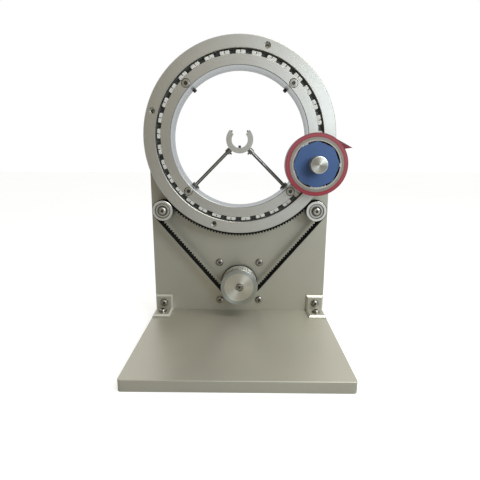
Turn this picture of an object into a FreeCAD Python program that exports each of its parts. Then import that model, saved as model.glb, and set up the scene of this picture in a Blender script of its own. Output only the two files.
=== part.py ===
import FreeCAD, Part
import math
import operator
import os
import Sketcher
from FreeCAD import Rotation, Vector

# Tape winding machine: a base plate with an upright plate, a slewing ring that carries a spool of
# tape round the work, a rest for the work in the middle of the bore, and a toothed belt drive.
# Millimetres. X runs along the plates' width, the machine faces -Y, and Z points up. The origin
# lies on the underside of the base, below the middle of the upright plate's front face.

SIZES = {
    # Base plate and upright plate
    "plate_ring_overhang": 1.5,
    "base_front": 221.0,
    "base_rear": 110.0,
    "base_thickness": 16.0,
    "base_corner_radius": 5.0,
    "upright_thickness": 15.0,
    "plate_edge_break": 0.8,
    # Corner brackets
    "bracket_width": 30.0,
    "bracket_height": 29.0,
    "bracket_reach": 35.0,
    "bracket_thickness": 4.5,
    "bracket_inset": 0.6,
    "bracket_upper_screw": 15.5,
    "bracket_lower_screw": 20.0,
    "bracket_edge_break": 2.8,
    "bracket_screw_head_radius": 5.4,
    "washer_radius": 7.2,
    "washer_thickness": 1.2,
    "plate_screw_bite": 12.0,
    # Slewing ring
    "ring_height": 314.3,
    "bore_radius": 108.4,
    "inner_ring_width": 16.2,
    "inner_ring_thickness": 20.0,
    "spacer_width": 17.6,
    "spacer_thickness": 8.0,
    "spacer_seam": 0.5,
    "ring_slot_width": 7.8,
    "outer_ring_width": 19.1,
    "outer_ring_thickness": 19.0,
    "ring_edge_break": 0.8,
    "tongue_thickness": 3.0,
    "outer_ring_hole_radius": 3.3,
    "outer_ring_counterbore_radius": 5.2,
    "outer_ring_counterbore_depth": 6.5,
    "outer_ring_hole_angle": -17.1,
    "outer_ring_hole_count": 4,
    # Slide pads between the two rings
    "pad_count": 33,
    "pad_angle": 6.7,
    "pad_first_angle": 2.0,
    "pad_strip_thickness": 1.4,
    "pad_lug_gap": 2.5,
    "pad_lug_corner": 1.7,
    "pad_lug_crown": 0.7,
    "pad_recess": 0.7,
    "pad_slot_width": 1.2,
    "slide_gap": 0.3,
    # Screws of the slewing ring
    "ring_screw_count": 4,
    "ring_screw_angle": 45.0,
    "ring_screw_head_gap": 0.6,
    "ring_screw_head_height": 8.0,
    "ring_screw_shank_radius": 4.0,
    "ring_screw_key_radius": 3.2,
    "ring_counterbore_wall": 1.0,
    "ring_counterbore_depth": 8.6,
    # Work rest in the bore
    "rest_outer_radius": 22.3,
    "rest_inner_radius": 13.4,
    "rest_thickness": 15.0,
    "rest_lip_angle": 40.5,
    "rest_mouth_slope": 51.0,
    "rod_radius": 2.9,
    "rod_angle": 45.0,
    "rod_sink": 3.0,
    "rod_end_gap": 1.6,
    "sleeve_edge_break": 0.5,
    "collar_radius": 4.8,
    "collar_length": 8.0,
    "rod_foot_radius": 5.8,
    "rod_foot_height": 4.4,
    "grub_radius": 2.2,
    "grub_length": 7.5,
    "grub_stand_out": 4.0,
    "side_screw_radius": 1.3,
    "side_screw_length": 2.4,
    "horn_grub_radius": 1.3,
    "horn_grub_length": 5.0,
    "horn_grub_stand_out": 2.2,
    "horn_grub_place": 5.8,
    "bore_grub_radius": 3.0,
    "bore_grub_angle": 43.5,
    "bore_grub_stand_out": 4.8,
    # Toothed belt
    "belt_pitch": 5.0,
    "belt_width": 15.0,
    "belt_back": 1.75,
    "belt_tooth_height": 2.06,
    "belt_pitch_line": 0.57,
    "belt_tooth_root": 3.3,
    "belt_tooth_tip": 2.0,
    "belt_centre_depth": 20.0,
    "belt_gap": 0.3,
    # Drive pulley
    "pulley_teeth": 36,
    "pulley_rise": 54.3,
    "pulley_flange_height": 3.6,
    "pulley_flange_thickness": 2.0,
    "pulley_boss_step": 0.6,
    "pulley_hub_radius": 15.0,
    "pulley_web": 3.0,
    "pulley_face_recess": 0.8,
    "pulley_counterbore_radius": 7.0,
    "pulley_screw_head_radius": 5.0,
    "pulley_screw_head_height": 5.0,
    "pulley_screw_shank_radius": 3.0,
    "pulley_screw_key_radius": 2.5,
    "pulley_screw_bite": 12.0,
    "pulley_front_gap": 4.5,
    "pulley_rear_gap": 6.0,
    # Motor behind the upright plate
    "motor_square": 86.0,
    "motor_hole_spacing": 69.6,
    "motor_pilot_radius": 36.5,
    "motor_pilot_height": 2.8,
    "motor_front_length": 10.0,
    "motor_stack_length": 62.0,
    "motor_rear_length": 14.0,
    "motor_stack_corner": 26.0,
    "motor_shaft_radius": 7.0,
    "motor_shaft_reach": 40.0,
    "motor_shaft_edge_break": 1.0,
    "motor_shaft_hole_gap": 1.0,
    "motor_bearing_radius": 17.5,
    "motor_bearing_width": 7.0,
    "shaft_hole_radius": 20.0,
    "motor_screw_head_radius": 6.6,
    "motor_screw_head_height": 3.6,
    "motor_screw_shank_radius": 3.0,
    "motor_screw_key_radius": 2.3,
    "motor_nut_radius": 5.8,
    "motor_nut_height": 5.0,
    "motor_rear_corner": 13.0,
    "motor_rear_edge_break": 1.6,
    "socket_width": 24.0,
    "socket_height": 11.0,
    "socket_length": 11.0,
    "socket_depth": 9.0,
    "socket_wall": 1.6,
    "socket_inset": 1.0,
    # Idlers
    "idler_angle": 42.33,
    "idler_ring_gap": 1.85,
    "idler_wall": 2.9,
    "idler_flange_height": 2.9,
    "idler_flange_thickness": 2.2,
    "idler_side_gap": 0.3,
    "idler_edge_break": 0.5,
    "idler_mouth_groove": 1.8,
    "idler_mouth_depth": 1.6,
    "idler_bearing_radius": 10.6,
    "idler_bearing_width": 7.0,
    "idler_bearing_recess": 0.6,
    "idler_bearing_race": 2.4,
    "idler_shield_dip": 0.5,
    "idler_web_height": 2.6,
    "idler_stud_radius": 4.0,
    "idler_seat_radius": 6.1,
    "idler_post_radius": 8.0,
    "idler_post_gap": 0.5,
    "idler_tenon_length": 10.5,
    "idler_screw_head_radius": 6.1,
    "idler_screw_head_height": 4.0,
    "idler_screw_shank_radius": 2.5,
    "idler_screw_key_radius": 2.4,
    "idler_screw_bite": 10.0,
    # Tape spool on the outer ring
    "spool_inset": 8.4,
    "spool_angle": -18.4,
    "arm_stand_off": 1.5,
    "arm_thickness": 7.0,
    "arm_width": 34.0,
    "arm_corner": 6.0,
    "arm_shoulder": 6.0,
    "arm_tail": 14.5,
    "arm_edge_inset": 1.0,
    "arm_foot_margin": 4.5,
    "arm_screw_margin": 1.5,
    "arm_screw_spread": 9.0,
    "arm_screw_head_radius": 4.25,
    "arm_screw_head_height": 5.0,
    "arm_screw_shank_radius": 2.5,
    "arm_screw_key_radius": 2.0,
    "arm_screw_bite": 10.0,
    "spindle_radius": 6.0,
    "spindle_collar_radius": 9.0,
    "spindle_collar_thickness": 1.0,
    "spindle_thread_radius": 4.0,
    "tape_width": 19.5,
    "core_inner_radius": 35.2,
    "core_wall": 6.0,
    "tape_wound": 6.1,
    "hub_lobe_gap": 0.25,
    "hub_lobe_count": 8,
    "hub_flat_depth": 2.5,
    "hub_flat_angle": 22.5,
    "hub_setback": 0.8,
    "hub_web_thickness": 6.0,
    "hub_rim_thickness": 4.0,
    "hub_boss_radius": 13.0,
    "knob_radius": 12.6,
    "knob_length": 20.5,
    "knob_edge_break": 0.8,
    "knob_front_wall": 4.0,
    "brake_washer_radius": 11.5,
    "brake_spring_radius": 7.0,
    "brake_spring_wire": 1.2,
    "brake_spring_turns": 4,
    "brake_spring_length": 9.0,
    "tab_reach": 13.2,
    "tab_tip_angle": 25.5,
    "tab_rear_reach": 3.7,
    "tab_rear_angle": 34.0,
    "tab_start_angle": 63.0,
    "tab_end_angle": 29.2,
    "tab_thickness": 0.5,
    # Clearances
    "running_gap": 0.05,
    "fit_gap": 0.05,
    "screw_gap": 0.3,
}

# Shares of a screw head's height and of a tab's sweep that no single piece owns
CAP_EDGE = 0.1
BUTTON_EDGE = 0.45
BUTTON_CROWN = 0.6
KEY_DEPTH = 0.55
TAB_STEPS = 7

doc = FreeCAD.newDocument("tape_winder")
sheet = doc.addObject("Spreadsheet::Sheet", "Sizes")
for row, (alias, number) in enumerate(SIZES.items(), start=1):
    sheet.set(f"A{row}", alias)
    sheet.set(f"B{row}", str(number))
    sheet.setAlias(f"B{row}", alias)
doc.recompute()


# Sizes that stay tied to the spreadsheet


class Size:
    """A number together with the spreadsheet expression that drives it."""

    def __init__(self, value, text):
        self.value = value
        self.text = text

    def __add__(self, other):
        return combine(self, "+", other)

    def __radd__(self, other):
        return combine(other, "+", self)

    def __sub__(self, other):
        return combine(self, "-", other)

    def __rsub__(self, other):
        return combine(other, "-", self)

    def __mul__(self, other):
        return combine(self, "*", other)

    def __rmul__(self, other):
        return combine(other, "*", self)

    def __truediv__(self, other):
        return combine(self, "/", other)

    def __neg__(self):
        return combine(0, "-", self)


OPERATIONS = {"+": operator.add, "-": operator.sub, "*": operator.mul, "/": operator.truediv}


def as_size(number):
    """A plain number as a Size, and a Size as it is."""
    return number if isinstance(number, Size) else Size(float(number), f"({number})")


def combine(left, sign, right):
    left, right = as_size(left), as_size(right)
    value = OPERATIONS[sign](left.value, right.value)
    return Size(value, f"({left.text} {sign} {right.text})")


def cosine(angle):
    """Cosine of an angle in degrees."""
    angle = as_size(angle)
    return Size(math.cos(math.radians(angle.value)), f"cos({angle.text} * 1 deg)")


def sine(angle):
    """Sine of an angle in degrees."""
    angle = as_size(angle)
    return Size(math.sin(math.radians(angle.value)), f"sin({angle.text} * 1 deg)")


def root(number):
    """Square root."""
    number = as_size(number)
    return Size(math.sqrt(number.value), f"sqrt({number.text})")


class Sheet:
    """The spreadsheet's cells as Size attributes."""

    def __getattr__(self, alias):
        return Size(float(SIZES[alias]), f"Sizes.{alias}")


d = Sheet()


def bind(thing, path, size):
    """Drive one property of an object from the spreadsheet."""
    thing.setExpression(path, as_size(size).text)


def place(thing, x=0, y=0, z=0, turn=None):
    """Put an object's own origin at a point, turned if asked, and keep it tied to the sizes."""
    point = [as_size(length) for length in (x, y, z)]
    turn = turn or Rotation()
    thing.Placement = FreeCAD.Placement(Vector(*[length.value for length in point]), turn)
    for letter, length in zip("xyz", point):
        bind(thing, f"Placement.Base.{letter}", length)


# Sketches and features

FRONT = Vector(0, -1, 0)
BACK = Vector(0, 1, 0)
UP = Vector(0, 0, 1)
START, END, CENTRE = 1, 2, 3
HEXAGON = 6
SIDES = (("left", -1), ("right", 1))
SIGNS = (-1, 1)


def new_body(label):
    body = doc.addObject("PartDesign::Body", label)
    body.Label = label
    return body


def new_sketch(body, role, offset=0):
    """A sketch on one of the body's own origin planes, moved along the plane's normal."""
    sketch = body.newObject("Sketcher::SketchObject", f"{body.Name}_sketch")
    plane = next(item for item in body.Origin.OriginFeatures if item.Role == role)
    sketch.AttachmentSupport = (plane, [""])
    sketch.MapMode = "FlatFace"
    bind(sketch, "AttachmentOffset.Base.z", offset)
    return sketch


def front_sketch(body, depth=0):
    """A sketch that faces the front, with X to the right and Z up, at a depth along Y."""
    return new_sketch(body, "XZ_Plane", -as_size(depth))


def hold_along(sketch, kind, geometry, corner, length):
    """Fix one point of a sketch at a distance from the origin along one direction."""
    length = as_size(length)
    index = sketch.addConstraint(Sketcher.Constraint(kind, geometry, corner, length.value))
    bind(sketch, f"Constraints[{index}]", length)


def hold_point(sketch, geometry, corner, x, y):
    """Fix one point of a sketch at a place that the sizes give."""
    hold_along(sketch, "DistanceX", geometry, corner, x)
    hold_along(sketch, "DistanceY", geometry, corner, y)


def polygon(sketch, points):
    """A closed outline with straight sides."""
    points = [(as_size(x), as_size(y)) for x, y in points]
    corners = [Vector(x.value, y.value, 0) for x, y in points]
    first = sketch.GeometryCount
    for index, corner in enumerate(corners):
        sketch.addGeometry(Part.LineSegment(corner, corners[(index + 1) % len(corners)]))
    for index, (x, y) in enumerate(points):
        following = first + (index + 1) % len(points)
        sketch.addConstraint(Sketcher.Constraint("Coincident", first + index, END, following, START))
        hold_point(sketch, first + index, START, x, y)


def circle(sketch, x, y, radius):
    """A full circle."""
    x, y, radius = as_size(x), as_size(y), as_size(radius)
    shape = Part.Circle(Vector(x.value, y.value, 0), UP, radius.value)
    geometry = sketch.addGeometry(shape)
    hold_point(sketch, geometry, CENTRE, x, y)
    index = sketch.addConstraint(Sketcher.Constraint("Radius", geometry, radius.value))
    bind(sketch, f"Constraints[{index}]", radius)


def rectangle(sketch, left, right, bottom, top):
    polygon(sketch, [(left, bottom), (right, bottom), (right, top), (left, top)])


def regular_points(count, radius, start_angle):
    """The corners of a regular polygon about the origin."""
    angles = [start_angle + 360.0 * index / count for index in range(count)]
    return [(radius * cosine(angle), radius * sine(angle)) for angle in angles]


def feature(body, kind, sketch, length, reverse=False):
    """A pad or pocket of a sketch; for a front sketch, reverse turns a pad towards the back."""
    made = body.newObject(f"PartDesign::{kind}", f"{body.Name}_{kind.lower()}")
    made.Profile = sketch
    bind(made, "Length", length)
    made.Reversed = reverse
    return made


def pad_back(body, sketch, length):
    return feature(body, "Pad", sketch, length, reverse=True)


def pocket_back(body, sketch, length):
    return feature(body, "Pocket", sketch, length)


def turned(label, profile, x=0, z=0):
    """A body turned about an axis along Y, from a profile of (radius, depth) points."""
    body = new_body(label)
    sketch = new_sketch(body, "XY_Plane")
    polygon(sketch, profile)
    revolution = body.newObject("PartDesign::Revolution", f"{label}_revolution")
    revolution.Profile = sketch
    revolution.ReferenceAxis = (sketch, ["V_Axis"])
    revolution.Angle = 360.0
    place(body, x, 0, z)
    return body


def drill(body, radius, length, start, way=BACK):
    """A round hole in a body, from a start point along a direction."""
    hole = body.newObject("PartDesign::SubtractiveCylinder", f"{body.Name}_hole")
    bind(hole, "Radius", radius)
    bind(hole, "Height", length)
    place(hole, *start, turn=Rotation(UP, way))
    return hole


TOUCH = 0.01


def edge_names(shape, test):
    """The names of the edges of a shape that pass a test."""
    return [f"Edge{index}" for index, edge in enumerate(shape.Edges, start=1) if test(edge)]


def dress(body, kind, size, test):
    """A fillet or chamfer on the edges of a body's last feature that pass a test."""
    doc.recompute()
    base = body.Tip
    made = body.newObject(f"PartDesign::{kind}", f"{body.Name}_{kind.lower()}")
    made.Base = (base, edge_names(base.Shape, test))
    bind(made, "Radius" if kind == "Fillet" else "Size", size)
    return made


def runs_along(edge, way):
    """Whether an edge is straight and parallel to a direction."""
    if not isinstance(edge.Curve, Part.Line):
        return False
    return edge.Curve.Direction.cross(way).Length < TOUCH


def at_height(edge, z):
    return abs(edge.BoundBox.ZMin - z) < TOUCH and abs(edge.BoundBox.ZMax - z) < TOUCH


def at_depth(edge, y):
    return abs(edge.BoundBox.YMin - y) < TOUCH and abs(edge.BoundBox.YMax - y) < TOUCH


def copies(label, original, spots):
    """One sub-part made of the same piece at several spots, each (x, y, z) or (x, y, z, turn)."""
    group = doc.addObject("Part::Compound", label)
    group.Label = label
    links = []
    for number, spot in enumerate(spots, start=1):
        link = doc.addObject("App::Link", f"{label}_{number}")
        link.LinkedObject = original
        place(link, *spot)
        links.append(link)
    group.Links = links
    return group


def polar(radius, angle, x=0, z=0):
    """The X and Z of a point at an angle on a circle about an axis along Y."""
    return x + radius * cosine(angle), z + radius * sine(angle)


def direction(angle):
    """The direction at an angle about an axis along Y."""
    turn = math.radians(angle.value)
    return Vector(math.cos(turn), 0, math.sin(turn))


def cap_screw(label, head_radius, head_height, shank_radius, length, key_radius, round_head=False):
    """A screw with a hexagon socket: the head's seat at the origin, the shank towards +Y."""
    edge = head_height * (BUTTON_EDGE if round_head else CAP_EDGE)
    crown = head_radius - (head_height * BUTTON_CROWN if round_head else edge)
    body = turned(label, [
        (0, -head_height), (crown, -head_height), (head_radius, edge - head_height),
        (head_radius, 0), (shank_radius, 0), (shank_radius, length), (0, length)])
    socket = front_sketch(body, -head_height)
    polygon(socket, regular_points(HEXAGON, key_radius, 0.0))
    pocket_back(body, socket, head_height * KEY_DEPTH)
    return body


# Radii and heights that several pieces share

inner_ring_outer = d.bore_radius + d.inner_ring_width
spacer_outer = d.bore_radius + d.spacer_width
outer_ring_inner = inner_ring_outer + d.ring_slot_width
outer_ring_outer = outer_ring_inner + d.outer_ring_width
ring_screw_circle = (d.bore_radius + inner_ring_outer) / 2
ring_counterbore = d.inner_ring_width / 2 - d.ring_counterbore_wall
outer_ring_hole_circle = (outer_ring_inner + outer_ring_outer) / 2
pad_strip_inner = inner_ring_outer + d.fit_gap
pad_strip_outer = pad_strip_inner + d.pad_strip_thickness
half_width = outer_ring_outer - d.plate_ring_overhang
pulley_height = d.base_thickness + d.pulley_rise
idler_tread = d.idler_bearing_radius + d.idler_wall
idler_flange = idler_tread + d.idler_flange_height
idler_circle = outer_ring_outer + idler_flange + d.idler_ring_gap
idler_offset, idler_height = polar(idler_circle, -d.idler_angle, z=d.ring_height)
spool_circle = outer_ring_inner - d.spool_inset
core_outer = d.core_inner_radius + d.core_wall
tape_outer = core_outer + d.tape_wound

# Planes that several pieces share, as depths along Y from the upright plate's front face

bearing_back = -d.spacer_thickness
bearing_front = bearing_back - d.inner_ring_thickness
belt_middle = -d.belt_centre_depth
plate_back = d.upright_thickness
rest_middle = plate_back / 2
shaft_front = plate_back - d.motor_shaft_reach
arm_front = bearing_front - d.arm_stand_off - d.arm_thickness
tape_back = arm_front - d.spindle_collar_thickness - d.slide_gap
tape_front = tape_back - d.tape_width
hub_front = tape_front + d.hub_setback
knob_front = hub_front - d.washer_thickness - d.screw_gap - d.knob_length


# Base plate, upright plate and corner brackets


def make_base_plate():
    body = new_body("base_plate")
    sketch = new_sketch(body, "XY_Plane")
    rectangle(sketch, -half_width, half_width, -d.base_front, d.base_rear)
    feature(body, "Pad", sketch, d.base_thickness)
    dress(body, "Fillet", d.base_corner_radius, lambda edge: runs_along(edge, UP))
    dress(body, "Chamfer", d.plate_edge_break, lambda edge: at_height(edge, d.base_thickness.value))
    for sign in SIGNS:
        start = (sign * bracket_middle(), -d.bracket_lower_screw, d.base_thickness)
        drill(body, bracket_hole_radius(), d.plate_screw_bite + d.screw_gap, start, -UP)


def bracket_middle():
    """How far the middle of a corner bracket lies from the machine's middle."""
    return half_width - d.bracket_inset - d.bracket_width / 2


def bracket_hole_radius():
    return d.motor_screw_shank_radius + d.fit_gap


def above_base(edge):
    """Whether an edge lies in a face of the upright plate and not on its foot."""
    return edge.BoundBox.ZMax > d.base_thickness.value + 1 and not runs_along(edge, BACK)


def make_upright_plate():
    """The plate's sides run straight up to the ring's axis and close in a half circle above it."""
    body = new_body("upright_plate")
    sketch = front_sketch(body)
    half, foot = half_width, d.base_thickness
    corners = [(-half, d.ring_height), (-half, foot), (half, foot), (half, d.ring_height)]
    points = [Vector(x.value, z.value, 0) for x, z in corners]
    for start, end in zip(points, points[1:]):
        sketch.addGeometry(Part.LineSegment(start, end))
    arch = Part.Circle(Vector(0, d.ring_height.value, 0), UP, half.value)
    crown = sketch.addGeometry(Part.ArcOfCircle(arch, 0.0, math.pi))
    for line in (0, 1):
        sketch.addConstraint(Sketcher.Constraint("Coincident", line, END, line + 1, START))
    last = len(corners) - 2
    sketch.addConstraint(Sketcher.Constraint("Coincident", last, END, crown, START))
    sketch.addConstraint(Sketcher.Constraint("Coincident", crown, END, 0, START))
    for line, corner in enumerate(corners[:-1]):
        hold_point(sketch, line, START, *corner)
    hold_along(sketch, "DistanceY", last, END, d.ring_height)
    hold_point(sketch, crown, CENTRE, 0, d.ring_height)
    pad_back(body, sketch, d.upright_thickness)
    dress(body, "Chamfer", d.plate_edge_break, above_base)

    drill(body, d.bore_radius, d.upright_thickness, (0, 0, d.ring_height))
    for index in range(SIZES["ring_screw_count"]):
        x, z = ring_screw_spot(index, d.ring_height)
        hole_radius = d.ring_screw_shank_radius + d.fit_gap
        drill(body, hole_radius, d.plate_screw_bite + d.screw_gap, (x, 0, z))
    for sign in SIGNS:
        way = rod_direction(sign)
        x, z = polar(d.bore_radius - d.rod_sink, rod_angle(sign), z=d.ring_height)
        drill(body, d.rod_radius + d.fit_gap, d.rod_sink * 2 + d.screw_gap, (x, rest_middle, z), way)
        drill(body, bracket_hole_radius(), d.plate_screw_bite + d.screw_gap,
              (sign * bracket_middle(), 0, d.base_thickness + d.bracket_upper_screw))
        drill(body, d.idler_stud_radius + d.fit_gap, d.idler_tenon_length + d.screw_gap,
              (sign * idler_offset, 0, idler_height))

    drill(body, d.shaft_hole_radius, d.upright_thickness, (0, 0, pulley_height))
    drill(body, d.motor_pilot_radius + d.fit_gap, d.motor_pilot_height + d.screw_gap,
          (0, plate_back, pulley_height), FRONT)
    for x, z in motor_screw_spots():
        drill(body, d.motor_screw_shank_radius + d.screw_gap, d.upright_thickness, (x, 0, z))
    place(body)


def along_bracket_side(edge):
    """Whether an edge runs along a side of a bracket, on the faces that its screws sit on."""
    box, thickness = edge.BoundBox, d.bracket_thickness.value
    on_upper_leg = abs(box.YMin + thickness) < TOUCH and abs(box.YMax + thickness) < TOUCH
    on_foot = abs(box.ZMin - thickness) < TOUCH and abs(box.ZMax - thickness) < TOUCH
    return box.XLength < TOUCH and (on_upper_leg or on_foot)


def make_brackets():
    for side, sign in SIDES:
        body = new_body(f"bracket_{side}")
        sketch = new_sketch(body, "YZ_Plane")
        t, edge = d.bracket_thickness, d.bracket_edge_break
        polygon(sketch, [
            (0, 0), (-d.bracket_reach, 0), (-d.bracket_reach, t - edge),
            (edge - d.bracket_reach, t), (-t, t), (-t, d.bracket_height - edge),
            (edge - t, d.bracket_height), (0, d.bracket_height)])
        feature(body, "Pad", sketch, d.bracket_width)
        dress(body, "Chamfer", edge, along_bracket_side)
        middle = d.bracket_width / 2
        clear_radius = d.motor_screw_shank_radius + d.screw_gap
        drill(body, clear_radius, t, (middle, -t, d.bracket_upper_screw))
        drill(body, clear_radius, t, (middle, -d.bracket_lower_screw, t), -UP)
        place(body, sign * bracket_middle() - middle, 0, d.base_thickness)


def make_bracket_fasteners():
    """Button head screws on plain washers, one pair in each leg of each bracket."""
    washer_thickness = d.washer_thickness
    bore = d.motor_screw_shank_radius + d.screw_gap
    washer = turned("plain_washer", [
        (bore, -washer_thickness), (d.washer_radius, -washer_thickness), (d.washer_radius, 0),
        (bore, 0)])
    screw = cap_screw(
        "button_screw", d.bracket_screw_head_radius, d.motor_screw_head_height,
        d.motor_screw_shank_radius, d.plate_screw_bite + d.bracket_thickness + washer_thickness,
        d.motor_screw_key_radius, round_head=True)
    downward = Rotation(BACK, -UP)
    washer_spots, screw_spots = [], []
    for sign in SIGNS:
        x = sign * bracket_middle()
        upper_z = d.base_thickness + d.bracket_upper_screw
        lower_z = d.base_thickness + d.bracket_thickness
        washer_spots.append((x, -d.bracket_thickness, upper_z))
        screw_spots.append((x, -d.bracket_thickness - washer_thickness, upper_z))
        washer_spots.append((x, -d.bracket_lower_screw, lower_z, downward))
        screw_spots.append((x, -d.bracket_lower_screw, lower_z + washer_thickness, downward))
    copies("bracket_washers", washer, washer_spots)
    copies("bracket_screws", screw, screw_spots)


# Slewing ring: fixed inner ring on a spacer, slide pads, and the outer ring that turns


def ring_screw_spot(index, z=0):
    """Place of one of the screws that hold the slewing ring."""
    step = 360.0 / SIZES["ring_screw_count"]
    return polar(ring_screw_circle, d.ring_screw_angle + step * index, z=z)


def make_bearing_spacer():
    """A flat ring whose bore shows a fine seam on each side."""
    seam = d.spacer_seam
    body = turned("bearing_spacer", [
        (d.bore_radius + seam, bearing_back), (spacer_outer, bearing_back),
        (spacer_outer, 0), (d.bore_radius + seam, 0), (d.bore_radius, -seam),
        (d.bore_radius, bearing_back + seam)], z=d.ring_height)
    drill_ring_screw_holes(body, d.ring_screw_shank_radius + d.screw_gap, bearing_back,
                           d.spacer_thickness)


def drill_ring_screw_holes(body, radius, start_depth, length):
    """The holes for the screws that hold the slewing ring, about the body's own axis."""
    for index in range(SIZES["ring_screw_count"]):
        x, z = ring_screw_spot(index)
        drill(body, radius, length, (x, start_depth, z))


def make_bearing_inner_ring():
    edge = d.ring_edge_break
    body = turned("bearing_inner_ring", [
        (d.bore_radius, bearing_front + edge), (d.bore_radius + edge, bearing_front),
        (inner_ring_outer - edge, bearing_front),
        (inner_ring_outer, bearing_front + edge),
        (inner_ring_outer, bearing_back), (d.bore_radius, bearing_back)],
        z=d.ring_height)
    drill_ring_screw_holes(body, d.ring_screw_shank_radius + d.screw_gap, bearing_front,
                           d.inner_ring_thickness)
    drill_ring_screw_holes(body, ring_counterbore, bearing_front,
                           d.ring_counterbore_depth)


def make_inner_ring_screws():
    under_head = d.inner_ring_thickness - d.ring_counterbore_depth + d.spacer_thickness
    screw = cap_screw(
        "ring_screw", ring_counterbore - d.ring_screw_head_gap, d.ring_screw_head_height,
        d.ring_screw_shank_radius, under_head + d.plate_screw_bite, d.ring_screw_key_radius)
    spots = []
    for index in range(SIZES["ring_screw_count"]):
        x, z = ring_screw_spot(index, d.ring_height)
        spots.append((x, bearing_front + d.ring_counterbore_depth, z))
    copies("inner_ring_screws", screw, spots)


def tongue_planes():
    """Front and back of the outer ring's tongue, which the slide pads hold."""
    middle = bearing_front + d.outer_ring_thickness / 2
    return middle - d.tongue_thickness / 2, middle + d.tongue_thickness / 2


def make_bearing_outer_ring():
    edge = d.ring_edge_break
    back = bearing_front + d.outer_ring_thickness
    tongue_front, tongue_back = tongue_planes()
    inner, outer = outer_ring_inner, outer_ring_outer
    tip = pad_strip_outer + d.slide_gap
    body = turned("bearing_outer_ring", [
        (inner, bearing_front + edge), (inner + edge, bearing_front),
        (outer - edge, bearing_front), (outer, bearing_front + edge),
        (outer, back - edge), (outer - edge, back), (inner, back),
        (inner, tongue_back), (tip, tongue_back), (tip, tongue_front), (inner, tongue_front)],
        z=d.ring_height)
    step = 360.0 / SIZES["outer_ring_hole_count"]
    for index in range(SIZES["outer_ring_hole_count"]):
        x, z = polar(outer_ring_hole_circle, d.outer_ring_hole_angle + step * index)
        drill(body, d.outer_ring_hole_radius, d.outer_ring_thickness, (x, bearing_front, z))
        drill(body, d.outer_ring_counterbore_radius, d.outer_ring_counterbore_depth,
              (x, bearing_front, z))
    for angle in arm_screw_angles():
        x, z = polar(outer_ring_hole_circle, angle)
        drill(body, d.arm_screw_shank_radius + d.fit_gap, d.arm_screw_bite + d.screw_gap,
              (x, bearing_front, z))


def lug_point(edge):
    """Middle of a slide pad's edge: distance from the ring's axis, depth, and offset sideways."""
    first, last = edge.ParameterRange
    middle = edge.valueAt((first + last) / 2)
    return math.hypot(middle.x, middle.z), middle.y, abs(middle.z)


def is_lug_corner(edge):
    """Whether an edge is an outer corner of a slide pad's pair of front lugs."""
    radius, depth, sideways = lug_point(edge)
    lug_outer = (outer_ring_inner - d.pad_lug_gap).value
    return (runs_along(edge, BACK) and abs(radius - lug_outer) < TOUCH
            and depth < tongue_planes()[0].value and sideways > d.pad_slot_width.value)


def is_lug_crown(edge):
    """Whether an edge is on the outside of the front face of a slide pad's lugs."""
    radius, depth, sideways = lug_point(edge)
    front = (bearing_front + d.pad_recess).value
    return (abs(depth - front) < TOUCH and radius > pad_strip_inner.value + TOUCH
            and sideways > d.pad_slot_width.value / 2 + TOUCH)


def make_slide_pads():
    """Plastic pads on the inner ring, each with a pair of lugs in front of the outer ring's tongue
    and one lug behind it, so that they carry the ring both radially and axially."""
    tongue_front, tongue_back = tongue_planes()
    lug_outer = outer_ring_inner - d.pad_lug_gap
    front = bearing_front + d.pad_recess
    back = bearing_back - d.pad_recess
    pad = new_body("slide_pad")
    sketch = new_sketch(pad, "XY_Plane")
    polygon(sketch, [
        (pad_strip_inner, front), (lug_outer, front), (lug_outer, tongue_front - d.slide_gap),
        (pad_strip_outer, tongue_front - d.slide_gap), (pad_strip_outer, tongue_back + d.slide_gap),
        (lug_outer, tongue_back + d.slide_gap), (lug_outer, back), (pad_strip_inner, back)])
    revolution = pad.newObject("PartDesign::Revolution", "slide_pad_revolution")
    revolution.Profile = sketch
    revolution.ReferenceAxis = (sketch, ["V_Axis"])
    bind(revolution, "Angle", d.pad_angle)
    revolution.Midplane = True
    slot = pad.newObject("PartDesign::SubtractiveBox", "slide_pad_slot")
    bind(slot, "Length", lug_outer - pad_strip_outer)
    bind(slot, "Width", tongue_front - d.slide_gap - front)
    bind(slot, "Height", d.pad_slot_width)
    place(slot, pad_strip_outer, front, -d.pad_slot_width / 2)
    dress(pad, "Fillet", d.pad_lug_corner, is_lug_corner)
    dress(pad, "Fillet", d.pad_lug_crown, is_lug_crown)
    spots = []
    for index in range(SIZES["pad_count"]):
        angle = SIZES["pad_first_angle"] + 360.0 * index / SIZES["pad_count"]
        spots.append((0, 0, d.ring_height, Rotation(FRONT, angle)))
    copies("slide_pads", pad, spots)


# Work rest: an open ring in the middle of the bore, on two rods


def rod_angle(sign):
    """Direction of a rod as an angle from +X: the right rod points down right."""
    return -d.rod_angle if sign > 0 else d.rod_angle - 180


def rod_direction(sign):
    return direction(rod_angle(sign))


def horn_point(sign, along):
    """A point of a horn's end face, at a distance from its inner lip."""
    x, z = polar(d.rest_inner_radius, d.rest_lip_angle)
    slope_x, slope_z = cosine(d.rest_mouth_slope), sine(d.rest_mouth_slope)
    return sign * (x + along * slope_x), z + along * slope_z


def horn_way(sign):
    """Square out of a horn's end face."""
    slope = math.radians(d.rest_mouth_slope.value)
    return Vector(-sign * math.sin(slope), 0, math.cos(slope))


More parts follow.
